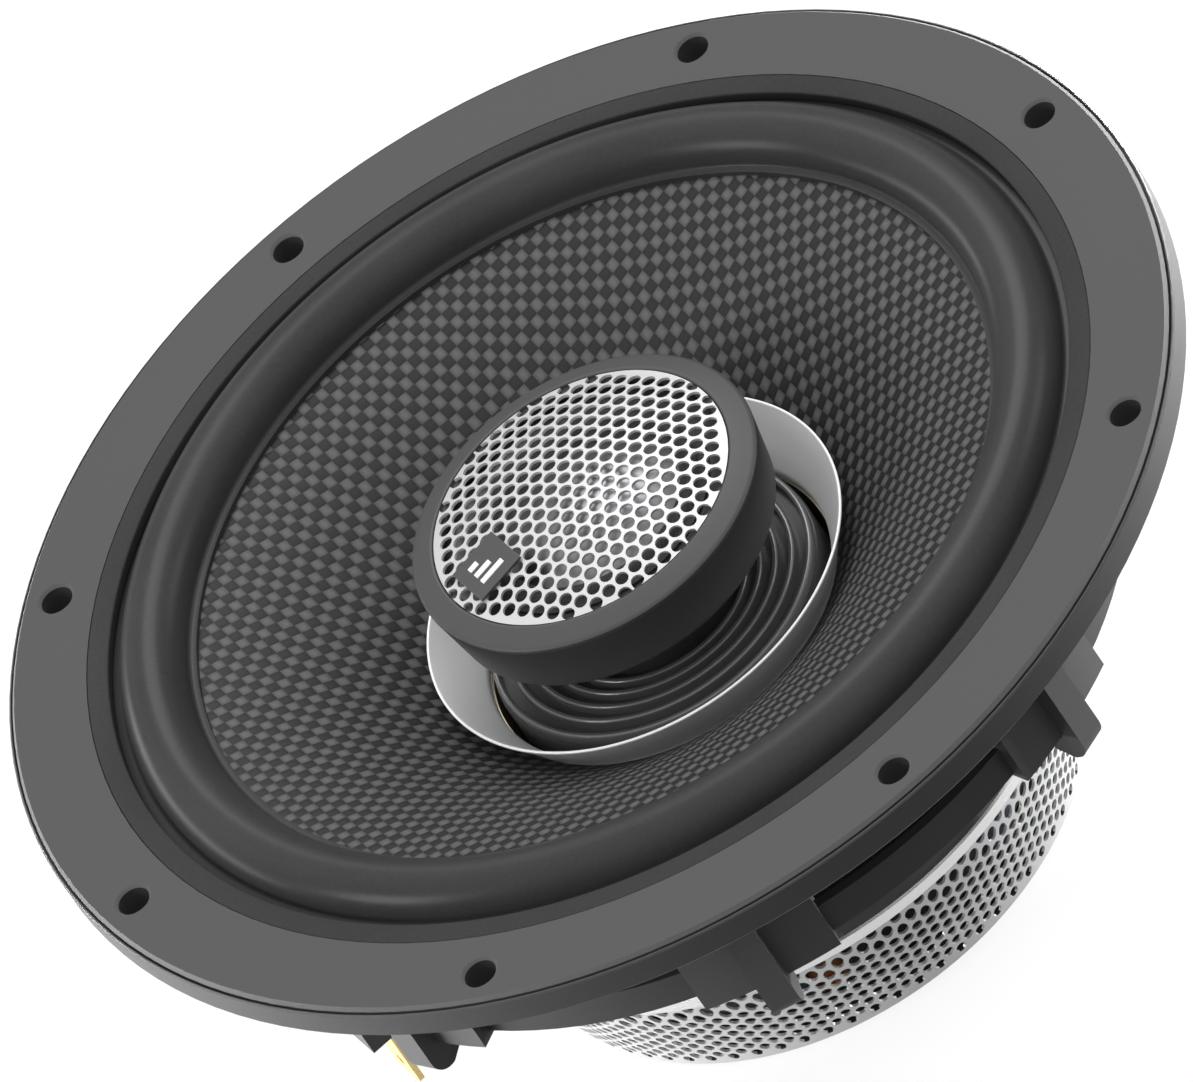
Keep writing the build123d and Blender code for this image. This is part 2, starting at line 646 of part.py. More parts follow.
def tweeter_faceplate():
    return turned([(FACEPLATE_BORE_R, TWEETER_YOKE_TOP_Z), (FACEPLATE_R, TWEETER_YOKE_TOP_Z),
                   (FACEPLATE_R, FACEPLATE_TOP_Z + 0.6), (FACEPLATE_SLOPE_R, FACEPLATE_TOP_Z),
                   (FACEPLATE_BORE_R, FACEPLATE_TOP_Z)])


def tweeter_dome():
    return domed_cap(TWEETER_DOME_R, TWEETER_DOME_RISE, TWEETER_DOME_T, FACEPLATE_TOP_Z + 0.4)


def tweeter_coil():
    """Short former under the dome with its winding."""
    inner, middle, outer = TWEETER_COIL_RADII
    former = ring(inner, middle, TWEETER_COIL_BOTTOM_Z, FACEPLATE_TOP_Z + 0.1)
    return former + ring(middle, outer, TWEETER_COIL_BOTTOM_Z, TWEETER_YOKE_TOP_Z)


def tweeter_dome_surround():
    """Small roll between the dome and the faceplate."""
    base = FACEPLATE_TOP_Z
    roll = DOME_ROLL_R
    return turned([(TWEETER_DOME_R, base + 0.1), (roll - 1.2, base + 0.1), (roll, base + 0.9),
                   (roll + 1.2, base), (DOME_EDGE_R, base), (DOME_EDGE_R, base + 0.3),
                   (roll + 1.3, base + 0.35), (roll, base + 1.25), (roll - 1.3, base + 0.45),
                   (TWEETER_DOME_R, base + 0.4)])


def terminal_block():
    """Moulded block hung on the band, with a backing plate outside it."""
    foot_top = BAND_BOTTOM_Z - FIT
    foot_h = foot_top - TERMINAL_BOTTOM_Z
    depth = TERMINAL_OUTER_R - TERMINAL_INNER_R
    middle_r = (TERMINAL_OUTER_R + TERMINAL_INNER_R) / 2
    foot = Pos(-middle_r, 0, foot_top - foot_h / 2) * Box(depth, TERMINAL_W, foot_h)
    plate_h = TERMINAL_TOP_Z - foot_top + 1
    plate_at = Pos(-TERMINAL_OUTER_R + TERMINAL_PLATE_T / 2, 0, TERMINAL_TOP_Z - plate_h / 2)
    block = foot + plate_at * Box(TERMINAL_PLATE_T, TERMINAL_W, plate_h)
    for side in (-1, 1):
        block -= rivet_hole(side)
        block -= tab_at(side, TAB_POSITIVE_W if side > 0 else TAB_NEGATIVE_W, FIT)
    return block


def tab_at(side, width, grow=0.0):
    """Upright flat blade, or the slot for it where grow is set."""
    top = BAND_BOTTOM_Z - TAB_TOP_DEPTH
    y = -side * TAB_SPACING / 2
    blade = Box(TAB_T + 2 * grow, width + 2 * grow, top - TAB_TIP_Z + 2 * grow)
    return Pos(-TAB_R, y, (top + TAB_TIP_Z) / 2) * blade


def terminal_tab(side, width):
    """Blade with a chamfered tip and a small locating hole."""
    hole_at = Pos(-TAB_R, -side * TAB_SPACING / 2, TAB_TIP_Z + TAB_HOLE_FROM_TIP)
    blade = tab_at(side, width)
    tip_edges = blade.edges().filter_by(Axis.X).group_by(Axis.Z)[0]
    return chamfer(tip_edges, TAB_TIP_CHAMFER) - hole_at * Cylinder(TAB_HOLE_R, 4, rotation=(0, 90, 0))


def terminal_rivets():
    """Two rivets through the terminal plate and the band."""
    middle_z = (BAND_TOP_Z + BAND_BOTTOM_Z) / 2
    rivets = []
    for side in (-1, 1):
        y = side * TERMINAL_W / 3
        shank = Cylinder(RIVET_R - FIT, RIVET_L, rotation=(0, 90, 0))
        head = Cone(RIVET_HEAD_R, RIVET_HEAD_TOP_R, RIVET_HEAD_H, rotation=(0, -90, 0))
        shank_at = Pos(-TERMINAL_OUTER_R + RIVET_L / 2, y, middle_z)
        head_at = Pos(-TERMINAL_OUTER_R - RIVET_HEAD_H / 2, y, middle_z)
        rivets.append(shank_at * shank + head_at * head)
    return Compound(children=rivets)


def lead(side):
    """Short braided lead from the block to the spider's rim."""
    y = -side * TAB_SPACING / 2
    rim_z = SPIDER_Z + LEAD_R + 0.3
    start = (-TERMINAL_INNER_R, y, LEAD_START_Z)
    points = [start, (-TERMINAL_INNER_R + 3.0, y, LEAD_START_Z), (-TERMINAL_INNER_R + 5.6, y, rim_z),
              (-TERMINAL_INNER_R + 8.6, y, rim_z)]
    path = FilletPolyline(*points, radius=LEAD_BEND_R)
    section = Plane(origin=start, z_dir=(1, 0, 0)) * Circle(LEAD_R)
    return sweep(section, path=path)


def tinsel_leads():
    return Compound(children=[lead(-1), lead(1)])


os.makedirs("parts", exist_ok=True)
nodes = {
    "basket": basket(),
    "gasket_ring": gasket_ring(),
    "surround": surround(),
    "cone": cone(),
    "cone_collar": cone_collar(),
    "coil_former": coil_former(),
    "voice_coil": voice_coil(),
    "spider": spider(),
    "front_plate": front_plate(),
    "motor_screws": motor_screws(),
    "yoke_cup": yoke_cup(),
    "motor_magnet": motor_magnet(),
    "pole_plate": pole_plate(),
    "shorting_ring": shorting_ring(),
    "mesh_cover": mesh_cover(),
    "crossover_board": crossover_board(),
    "crossover_capacitors": crossover_capacitors(),
    "crossover_inductor": crossover_inductor(),
    "crossover_resistor": crossover_resistor(),
    "ringed_plug": ringed_plug(),
    "tweeter_post": tweeter_post(),
    "tweeter_stem": tweeter_stem(),
    "tweeter_bolt": tweeter_bolt(),
    "tweeter_nut": tweeter_nut(),
    "tweeter_housing": tweeter_housing(),
    "tweeter_bezel": tweeter_bezel(),
    "tweeter_grille": tweeter_grille(),
    "grille_badge": grille_badge(),
    "tweeter_yoke": tweeter_yoke(),
    "tweeter_magnet": tweeter_magnet(),
    "tweeter_pole": tweeter_pole(),
    "tweeter_faceplate": tweeter_faceplate(),
    "tweeter_dome": tweeter_dome(),
    "tweeter_coil": tweeter_coil(),
    "tweeter_dome_surround": tweeter_dome_surround(),
    "terminal_block": terminal_block(),
    "terminal_tab_positive": terminal_tab(1, TAB_POSITIVE_W),
    "terminal_tab_negative": terminal_tab(-1, TAB_NEGATIVE_W),
    "terminal_rivets": terminal_rivets(),
    "tinsel_leads": tinsel_leads(),
}
for name, shape in nodes.items():
    export_step(shape, f"parts/{name}.step")
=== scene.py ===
import bpy
import bmesh
import math
import numpy as np
from mathutils import Matrix, Vector


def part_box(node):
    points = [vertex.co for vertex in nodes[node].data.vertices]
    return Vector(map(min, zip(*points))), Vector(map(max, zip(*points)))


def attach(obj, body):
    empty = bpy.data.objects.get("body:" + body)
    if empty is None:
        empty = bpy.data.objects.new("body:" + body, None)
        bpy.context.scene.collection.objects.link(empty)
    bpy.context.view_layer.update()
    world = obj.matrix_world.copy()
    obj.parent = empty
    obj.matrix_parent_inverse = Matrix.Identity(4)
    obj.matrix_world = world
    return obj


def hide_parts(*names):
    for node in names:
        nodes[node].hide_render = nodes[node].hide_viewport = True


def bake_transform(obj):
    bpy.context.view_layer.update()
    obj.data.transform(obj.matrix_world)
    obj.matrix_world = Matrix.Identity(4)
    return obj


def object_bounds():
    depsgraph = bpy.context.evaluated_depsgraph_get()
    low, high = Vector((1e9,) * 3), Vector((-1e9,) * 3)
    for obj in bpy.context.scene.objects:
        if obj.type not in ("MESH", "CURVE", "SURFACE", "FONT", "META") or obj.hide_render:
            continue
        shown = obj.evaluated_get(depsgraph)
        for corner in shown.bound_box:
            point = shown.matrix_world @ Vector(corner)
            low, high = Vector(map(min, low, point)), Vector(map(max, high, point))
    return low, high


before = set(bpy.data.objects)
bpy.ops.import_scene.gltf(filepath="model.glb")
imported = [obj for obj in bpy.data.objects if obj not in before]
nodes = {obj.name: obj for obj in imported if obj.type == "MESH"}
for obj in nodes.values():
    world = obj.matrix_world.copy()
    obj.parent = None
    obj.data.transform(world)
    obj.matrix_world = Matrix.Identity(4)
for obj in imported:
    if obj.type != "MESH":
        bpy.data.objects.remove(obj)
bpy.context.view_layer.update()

MM = 0.001
ROUND = 256            # steps round the speaker's axis on large turned pieces
TINY = 1e-6

# ---------------------------------------------------------------- camera
LENS_MM = 1200
SENSOR_MM = 36
FIELD_W = 152.17 * MM             # width seen at the aim point
VIEW_AZIMUTH = math.radians(-99.53)
VIEW_ELEVATION = math.radians(40.47)
VIEW_ROLL = math.radians(34.74)
AIM_RIGHT, AIM_UP = 1.306 * MM, -4.533 * MM

FLANGE_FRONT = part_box("basket")[1][2]


def add_camera():
    """Long lens camera above the front left of the speaker, rolled so the axis leans left."""
    away = Vector((math.cos(VIEW_ELEVATION) * math.cos(VIEW_AZIMUTH),
                   math.cos(VIEW_ELEVATION) * math.sin(VIEW_AZIMUTH), math.sin(VIEW_ELEVATION)))
    level_right = Vector((-math.sin(VIEW_AZIMUTH), math.cos(VIEW_AZIMUTH), 0))
    level_up = away.cross(level_right)
    right = math.cos(VIEW_ROLL) * level_right - math.sin(VIEW_ROLL) * level_up
    up = math.sin(VIEW_ROLL) * level_right + math.cos(VIEW_ROLL) * level_up
    aim = Vector((0, 0, FLANGE_FRONT)) + right * AIM_RIGHT + up * AIM_UP
    data = bpy.data.cameras.new("camera")
    data.sensor_width = SENSOR_MM
    data.lens = LENS_MM
    distance = FIELD_W * LENS_MM / SENSOR_MM
    data.clip_start = distance * 0.2
    data.clip_end = distance * 3
    camera = bpy.data.objects.new("camera", data)
    turn = Matrix((right, up, away)).transposed().to_4x4()
    camera.matrix_world = Matrix.Translation(aim + away * distance) @ turn
    bpy.context.scene.collection.objects.link(camera)
    bpy.context.scene.camera = camera


add_camera()


# ---------------------------------------------------------------- mesh helpers
def link(name, mesh):
    """Puts a mesh into the scene as a piece with the given name."""
    piece = bpy.data.objects.new(name, mesh)
    bpy.context.scene.collection.objects.link(piece)
    return piece


MOST_OF_SIDE = 0.45      # how far along a side a rounded corner may reach


def soften(outline, radius, steps=4):
    """Rounds each corner of a closed (r, z) outline, apart from points on the axis."""
    rounded = []
    count = len(outline)
    for index in range(count):
        before = Vector(outline[index - 1])
        corner = Vector(outline[index])
        after = Vector(outline[(index + 1) % count])
        to_before, to_after = before - corner, after - corner
        reach = min(radius, to_before.length * MOST_OF_SIDE, to_after.length * MOST_OF_SIDE)
        if corner.x < TINY or reach < TINY:
            rounded.append(tuple(corner))
            continue
        start = corner + to_before.normalized() * reach
        finish = corner + to_after.normalized() * reach
        for step in range(steps + 1):
            t = step / steps
            point = start.lerp(corner, t).lerp(corner.lerp(finish, t), t)
            rounded.append(tuple(point))
    return rounded


def arc(centre, radius, start_deg, end_deg, steps):
    """Points on an arc in the (r, z) plane."""
    angles = np.radians(np.linspace(start_deg, end_deg, steps))
    return [(centre[0] + radius * math.cos(a), centre[1] + radius * math.sin(a)) for a in angles]


def revolve(name, outline, segments=ROUND, crease=35):
    """Closed surface of revolution about Z from a closed (r, z) outline in metres."""
    bm = bmesh.new()
    rows = []
    for r, z in outline:
        if r < TINY:
            rows.append([bm.verts.new((0, 0, z))])
        else:
            angles = [2 * math.pi * k / segments for k in range(segments)]
            rows.append([bm.verts.new((r * math.cos(a), r * math.sin(a), z)) for a in angles])
    for index, row in enumerate(rows):
        following = rows[(index + 1) % len(rows)]
        if len(row) == 1 and len(following) == 1:
            continue
        for k in range(segments):
            m = (k + 1) % segments
            corners = [row[k % len(row)], row[m % len(row)], following[m % len(following)],
                       following[k % len(following)]]
            unique = list(dict.fromkeys(corners))
            if len(unique) > 2:
                bm.faces.new(unique)
    bmesh.ops.remove_doubles(bm, verts=bm.verts, dist=1e-7)
    bmesh.ops.recalc_face_normals(bm, faces=bm.faces)
    mesh = bpy.data.meshes.new(name)
    bm.to_mesh(mesh)
    bm.free()
    mesh.shade_smooth()
    mesh.set_sharp_from_angle(angle=math.radians(crease))
    return link(name, mesh)


def moulded_copy(node, name, edge, angle=32):
    """A CAD node's shape with its loose triangles joined and edges sharper than angle rounded."""
    mesh = nodes[node].data.copy()
    mesh.name = name
    mesh.materials.clear()
    bm = bmesh.new()
    bm.from_mesh(mesh)
    bmesh.ops.remove_doubles(bm, verts=bm.verts, dist=2e-6)
    bmesh.ops.dissolve_limit(bm, angle_limit=math.radians(0.6), verts=bm.verts, edges=bm.edges)
    for line in bm.edges:
        line.smooth = True
    bm.to_mesh(mesh)
    bm.free()
    if "custom_normal" in mesh.attributes:
        mesh.attributes.remove(mesh.attributes["custom_normal"])
    mesh.shade_smooth()
    piece = link(name, mesh)
    bevel = piece.modifiers.new("rounded_edges", "BEVEL")
    bevel.width = edge
    bevel.segments = 2
    bevel.limit_method = "ANGLE"
    bevel.angle_limit = math.radians(angle)
    even = piece.modifiers.new("even_shading", "WEIGHTED_NORMAL")
    even.weight = 100
    bake_modifiers(piece)
    return piece


def bake_modifiers(piece):
    """Turns the evaluated piece into a plain mesh."""
    graph = bpy.context.evaluated_depsgraph_get()
    mesh = bpy.data.meshes.new_from_object(piece.evaluated_get(graph))
    mesh.name = piece.name
    piece.modifiers.clear()
    piece.data = mesh


def coordinates(piece):
    """Every vertex of the piece as a row of x, y and z."""
    flat = np.empty(len(piece.data.vertices) * 3)
    piece.data.vertices.foreach_get("co", flat)
    return flat.reshape(-1, 3)


def move_vertices(piece, points):
    """Sets every vertex to its row of points."""
    piece.data.vertices.foreach_set("co", np.asarray(points, float).ravel())
    piece.data.update()


def place(piece, body, node, material):
    """The finished piece stands for a CAD node and moves with its body."""
    piece.data.materials.clear()
    piece.data.materials.append(material)
    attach(piece, body)
    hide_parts(node)


def faces_of(piece):
    """Centre and normal of every face."""
    count = len(piece.data.polygons)
    centres, normals = np.empty(count * 3), np.empty(count * 3)
    piece.data.polygons.foreach_get("center", centres)
    piece.data.polygons.foreach_get("normal", normals)
    return centres.reshape(-1, 3), normals.reshape(-1, 3)


def coat_zone(piece, finish, chosen):
    """Gives the chosen faces a finish of their own."""
    piece.data.materials.append(finish)
    slots = np.empty(len(piece.data.polygons), np.int32)
    piece.data.polygons.foreach_get("material_index", slots)
    slots[chosen] = len(piece.data.materials) - 1
    piece.data.polygons.foreach_set("material_index", slots)


# ---------------------------------------------------------------- shader groups
FLOAT, COLOUR, GEOMETRY = "NodeSocketFloat", "NodeSocketColor", "NodeSocketGeometry"
BLACK = (0.0, 0.0, 0.0)


def socket(tree, name, kind, out=False, default=None):
    """Adds an input or output to a node group."""
    item = tree.interface.new_socket(name, in_out="OUTPUT" if out else "INPUT", socket_type=kind)
    if default is not None:
        item.default_value = default


def maths(tree, operation, first, second=None, third=None):
    """Result of a maths node whose inputs are numbers or other nodes' results."""
    node = tree.nodes.new("ShaderNodeMath")
    node.operation = operation
    for index, value in enumerate((first, second, third)):
        if value is None:
            continue
        if isinstance(value, (int, float)):
            node.inputs[index].default_value = value
        else:
            tree.links.new(value, node.inputs[index])
    return node.outputs[0]


def mixed(tree, share, first, second):
    """Colour between first and second."""
    node = tree.nodes.new("ShaderNodeMix")
    node.data_type = "RGBA"
    for name, value in (("Factor_Float", share), ("A_Color", first), ("B_Color", second)):
        target = next(s for s in node.inputs if s.identifier == name)
        if isinstance(value, (int, float)):
            target.default_value = value
        elif isinstance(value, tuple):
            target.default_value = (*value, 1)
        else:
            tree.links.new(value, target)
    return next(s for s in node.outputs if s.identifier == "Result_Color")


def swayed(tree, base, amount, signal):
    """The base value, moved up and down by the amount as a 0 to 1 signal leaves its middle."""
    return maths(tree, "MULTIPLY_ADD", maths(tree, "SUBTRACT", signal, 0.5), amount, base)


def object_place(tree):
    """Place on the piece in its own units, and its x, y and z apart."""
    where = tree.nodes.new("ShaderNodeTexCoord").outputs["Object"]
    parts = tree.nodes.new("ShaderNodeSeparateXYZ")
    tree.links.new(where, parts.inputs[0])
    return where, parts.outputs


def noise(tree, vector, scale, detail, rough=0.5):
    """Noise from 0 to 1 over the given place."""
    node = tree.nodes.new("ShaderNodeTexNoise")
    node.inputs["Detail"].default_value = detail
    node.inputs["Roughness"].default_value = rough
    tree.links.new(vector, node.inputs["Vector"])
    if isinstance(scale, (int, float)):
        node.inputs["Scale"].default_value = scale
    else:
        tree.links.new(scale, node.inputs["Scale"])
    return node.outputs["Fac"]


def new_group(name, inputs, outputs):
    """Empty shader group, with what comes into it and what it has to fill."""
    tree = bpy.data.node_groups.new(name, "ShaderNodeTree")
    for socket_name, kind, default in inputs:
        socket(tree, socket_name, kind, default=default)
    for socket_name, kind in outputs:
        socket(tree, socket_name, kind, out=True)
    into = tree.nodes.new("NodeGroupInput")
    out = tree.nodes.new("NodeGroupOutput")
    return tree, into.outputs, out.inputs


def moulding_grain_group():
    """Fine grain of a moulded, painted or rubber surface, with a slow drift of tone."""
    tree, given, out = new_group(
        "moulding_grain",
        [("Colour", COLOUR, (0.05, 0.05, 0.05, 1)), ("Drift", FLOAT, 0.15), ("Grain", FLOAT, 1800.0),
         ("Roughness", FLOAT, 0.5), ("Roughness Drift", FLOAT, 0.08)],
        [("Colour", COLOUR), ("Roughness", FLOAT), ("Height", FLOAT)])
    where = tree.nodes.new("ShaderNodeTexCoord").outputs["Object"]
    grain = noise(tree, where, given["Grain"], 3, 0.6)
    patch = noise(tree, where, 45.0, 3)
    tone = swayed(tree, 0.5, given["Drift"], patch)
    tone = swayed(tree, tone, given["Drift"], grain)
    lighter = mixed(tree, 0.35, given["Colour"], (0.75, 0.75, 0.75))
    darker = mixed(tree, 0.45, given["Colour"], BLACK)
    drifting = mixed(tree, tone, darker, lighter)
    tree.links.new(mixed(tree, 0.25, given["Colour"], drifting), out["Colour"])
    rough = swayed(tree, given["Roughness"], given["Roughness Drift"], patch)
    rough = swayed(tree, rough, given["Roughness Drift"], grain)
    tree.links.new(rough, out["Roughness"])
    tree.links.new(grain, out["Height"])
    return tree


def turned_metal_group():
    """Fine concentric tool marks of metal turned or rolled about the speaker's axis."""
    tree, given, out = new_group(
        "turned_metal",
        [("Colour", COLOUR, (0.7, 0.7, 0.7, 1)), ("Shade", FLOAT, 0.2), ("Lines", FLOAT, 2600.0),
         ("Roughness", FLOAT, 0.3), ("Roughness Drift", FLOAT, 0.12)],
        [("Colour", COLOUR), ("Roughness", FLOAT), ("Height", FLOAT)])
    where, (x, y, z) = object_place(tree)
    radius = maths(tree, "SQRT", maths(tree, "MULTIPLY_ADD", x, x, maths(tree, "MULTIPLY", y, y)))
    angle = maths(tree, "ARCTAN2", y, x)
    wrap = maths(tree, "MULTIPLY", maths(tree, "COSINE", angle), 0.002)
    joined = tree.nodes.new("ShaderNodeCombineXYZ")
    for index, value in enumerate((radius, z, wrap)):
        tree.links.new(value, joined.inputs[index])
    lines = noise(tree, joined.outputs[0], given["Lines"], 2)
    patch = noise(tree, where, 60.0, 3)
    dark = mixed(tree, given["Shade"], given["Colour"], BLACK)
    tree.links.new(mixed(tree, lines, dark, given["Colour"]), out["Colour"])
    rough = swayed(tree, given["Roughness"], given["Roughness Drift"], lines)
    rough = swayed(tree, rough, given["Roughness Drift"], patch)
    tree.links.new(rough, out["Roughness"])
    tree.links.new(lines, out["Height"])
    return tree


EVEN_OFFSET = 4000.0     # keeps the count of squares above nought


def by_thread(tree, crossing, over, under):
    """The over value where one set of threads lies on top, the under value where the other does."""
    pick = tree.nodes.new("ShaderNodeMix")
    for index, value in ((0, crossing), (2, over), (3, under)):
        tree.links.new(value, pick.inputs[index])
    return pick.outputs[0]


def plain_weave_group():
    """Over and under squares of a flat woven fibre, set along the X and Y axes, darkened in the valleys
    between threads as painted shade; the squares' two tones are partly the weave's pattern and partly painted
    sheen.
    """
    tree, given, out = new_group(
        "plain_weave",
        [("Over Colour", COLOUR, (0.1, 0.1, 0.1, 1)), ("Under Colour", COLOUR, (0.02, 0.02, 0.02, 1)),
         ("Pitch", FLOAT, 0.001), ("Fibre", FLOAT, 0.2), ("Roughness", FLOAT, 0.4)],
        [("Colour", COLOUR), ("Roughness", FLOAT), ("Height", FLOAT)])
    where, (x, y, _) = object_place(tree)
    across = [maths(tree, "DIVIDE", value, given["Pitch"]) for value in (x, y)]
    cells = [maths(tree, "FLOOR", value) for value in across]
    inside = [maths(tree, "SUBTRACT", value, cell) for value, cell in zip(across, cells)]
    counted = maths(tree, "ADD", maths(tree, "ADD", cells[0], cells[1]), EVEN_OFFSET)
    crossing = maths(tree, "MODULO", counted, 2.0)
    bows = [maths(tree, "SINE", maths(tree, "MULTIPLY", value, math.pi)) for value in inside]
    wide = [maths(tree, "POWER", bow, 0.6) for bow in bows]
    long = [maths(tree, "POWER", bow, 0.35) for bow in bows]
    relief = by_thread(tree, crossing, maths(tree, "MULTIPLY", wide[0], long[1]),
                       maths(tree, "MULTIPLY", wide[1], long[0]))
    strands = []
    for stretched in ((1.0, 0.12, 0.3), (0.12, 1.0, 0.3)):
        mapping = tree.nodes.new("ShaderNodeMapping")
        mapping.inputs["Scale"].default_value = stretched
        tree.links.new(where, mapping.inputs["Vector"])
        strands.append(noise(tree, mapping.outputs[0], 6500.0, 2))
    fibre = by_thread(tree, crossing, *strands)
    # Two tones for over and under squares: partly the weave's pattern, partly painted sheen.
    tone = mixed(tree, crossing, given["Over Colour"], given["Under Colour"])
    # Darker towards the thread edges and the valleys between them: painted shade.
    valley = mixed(tree, 0.72, tone, BLACK)
    shaded_valleys = mixed(tree, relief, valley, tone)
    darkened = mixed(tree, maths(tree, "MULTIPLY", given["Fibre"], fibre), shaded_valleys, BLACK)
    tree.links.new(darkened, out["Colour"])
    rough = maths(tree, "MULTIPLY_ADD", fibre, 0.15, given["Roughness"])
    tree.links.new(rough, out["Roughness"])
    tree.links.new(maths(tree, "MULTIPLY_ADD", fibre, 0.12, relief), out["Height"])
    return tree


GRAIN = moulding_grain_group()
TURNED = turned_metal_group()
WEAVE = plain_weave_group()


def material(name, group, bump, depth, shine=0.5, metallic=0.0, **values):
    """Principled material fed by one of the shared groups; the values go to the group's inputs."""
    item = bpy.data.materials.new(name)
    item.use_nodes = True
    tree = item.node_tree
    principled = tree.nodes["Principled BSDF"]
    effect = tree.nodes.new("ShaderNodeGroup")
    effect.node_tree = group
    for key, value in values.items():
        setting = (*value, 1) if isinstance(value, tuple) else value
        effect.inputs[key.replace("_", " ")].default_value = setting
    tree.links.new(effect.outputs["Colour"], principled.inputs["Base Color"])
    tree.links.new(effect.outputs["Roughness"], principled.inputs["Roughness"])
    relief = tree.nodes.new("ShaderNodeBump")
    relief.inputs["Strength"].default_value = bump
    relief.inputs["Distance"].default_value = depth
    tree.links.new(effect.outputs["Height"], relief.inputs["Height"])
    tree.links.new(relief.outputs["Normal"], principled.inputs["Normal"])
    principled.inputs["Specular IOR Level"].default_value = shine
    principled.inputs["Metallic"].default_value = metallic
    return item


def plastic(name, colour, rough, drift, shine=0.5):
    """Moulded, painted or rubber finish."""
    return material(name, GRAIN, 0.12, 0.03 * MM, shine=shine, Colour=colour, Roughness=rough, Drift=drift)


def metal(name, colour, rough, shade, lines=2600.0, metallic=1.0):
    """Bare or plated metal; a low metallic share gives the even look of bright metal in a white room."""
    return material(name, TURNED, 0.06, 0.02 * MM, metallic=metallic, Colour=colour, Roughness=rough,
                    Shade=shade, Lines=lines)


def cloth(name, over, under, pitch, rough, bump, depth, fibre=0.2, shine=0.5):
    """Woven finish with two tones."""
    return material(name, WEAVE, bump, depth, shine=shine, Over_Colour=over, Under_Colour=under, Pitch=pitch,
                    Fibre=fibre, Roughness=rough)


face_paint = plastic("satin_face_coat", (0.028, 0.028, 0.0285), 0.55, drift=0.10, shine=0.3)
cast_paint = plastic("satin_frame_coat", (0.06, 0.06, 0.061), 0.5, drift=0.14, shine=0.15)
# Darker copy of the casting's paint for the rim and the band under the flange: painted shade.
shaded_rim_paint = plastic("painted_shade_rim_coat", (0.025, 0.025, 0.0255), 0.42, drift=0.10, shine=0.15)
# Lighter tone for the flange's rounded edges: a painted highlight where the bevels catch the light.
painted_edge_highlight = plastic("painted_edge_highlight_coat", (0.085, 0.085, 0.085), 0.8, drift=0.3, shine=0.02)
rubber = plastic("surround_rubber", (0.005, 0.005, 0.0052), 0.3, drift=0.25, shine=0.12)
gasket_foam = plastic("gasket_foam", (0.007, 0.007, 0.0075), 0.8, drift=0.3, shine=0.1)
black_plastic = plastic("black_moulding", (0.004, 0.004, 0.0045), 0.3, drift=0.3, shine=0.3)
# Lighter copy of the black moulding for the plug's ridge tops: painted highlight.
painted_highlight_ridge = plastic("painted_highlight_ridge", (0.06, 0.06, 0.061), 0.22, drift=0.2, shine=0.9)
housing_plastic = plastic("tweeter_moulding", (0.016, 0.016, 0.0165), 0.4, drift=0.12, shine=0.2)
ring_plastic = plastic("tweeter_ring_moulding", (0.03, 0.03, 0.0305), 0.45, drift=0.12, shine=0.3)
# Near-black finish for bolt-hole walls and the cover's inner side: painted shade inside recesses.
painted_shade_lining = plastic("painted_shade_lining_coat", (0.006, 0.006, 0.006), 0.7, drift=0.2, shine=0.1)
terminal_plastic = plastic("terminal_moulding", (0.02, 0.02, 0.02), 0.5, drift=0.3)
board_green = plastic("board_mask", (0.012, 0.11, 0.03), 0.4, drift=0.4)
badge_gloss = plastic("badge_gloss", (0.02, 0.02, 0.021), 0.25, drift=0.2)
badge_white = plastic("badge_white", (0.85, 0.85, 0.85), 0.35, drift=0.05)
capacitor_wrap = plastic("capacitor_wrap", (0.015, 0.022, 0.07), 0.35, drift=0.3)
resistor_cement = plastic("resistor_cement", (0.11, 0.105, 0.1), 0.8, drift=0.4)
coated_steel = plastic("yoke_coat", (0.02, 0.02, 0.021), 0.4, drift=0.3)

spider_cloth = cloth("spider_cloth", (0.03, 0.029, 0.028), (0.018, 0.017, 0.017), pitch=0.7 * MM, rough=0.8,
                     bump=0.6, depth=0.08 * MM)
edge_cloth = cloth("dome_edge_cloth", (0.07, 0.07, 0.07), (0.04, 0.04, 0.04), pitch=0.3 * MM, rough=0.6,
                   bump=0.3, depth=0.03 * MM)
# The light over squares against the dark under squares are partly the weave's pattern and partly painted
# sheen.
woven_fibre = cloth("woven_fibre", (0.112, 0.113, 0.115), (0.012, 0.012, 0.0125), pitch=1.473 * MM, rough=0.5,
                    bump=0.5, depth=0.10 * MM, fibre=0.3, shine=0.35)

bright_collar = metal("bright_collar", (0.97, 0.97, 0.98), 0.35, shade=0.04, metallic=0.1)
bright_sheet = metal("bright_sheet", (0.55, 0.55, 0.55), 0.4, shade=0.08, lines=900.0, metallic=0.3)
cover_sheet = metal("cover_sheet", (0.68, 0.68, 0.68), 0.35, shade=0.08, lines=900.0, metallic=0.5)
zinc_plate = metal("bright_zinc", (0.98, 0.98, 0.98), 0.25, shade=0.02, metallic=0.8)
dark_steel = metal("black_zinc", (0.16, 0.16, 0.165), 0.38, shade=0.3)
machined_steel = metal("machined_steel", (0.52, 0.52, 0.52), 0.33, shade=0.35, lines=3200.0)
nickel = metal("nickel_plate", (0.7, 0.69, 0.66), 0.2, shade=0.15)
choke_wire = metal("choke_wire", (0.22, 0.08, 0.035), 0.35, shade=0.4, lines=5200.0)
copper = metal("enamelled_copper", (0.75, 0.33, 0.14), 0.3, shade=0.4, lines=5200.0)
foil = metal("former_foil", (0.62, 0.55, 0.42), 0.35, shade=0.2)
gold = metal("gold_plate", (1.0, 0.76, 0.32), 0.3, shade=0.08, metallic=0.7)
dome_foil = metal("dome_foil", (0.23, 0.23, 0.24), 0.32, shade=0.06)
satin_aluminium = metal("satin_aluminium", (0.72, 0.72, 0.73), 0.35, shade=0.2)
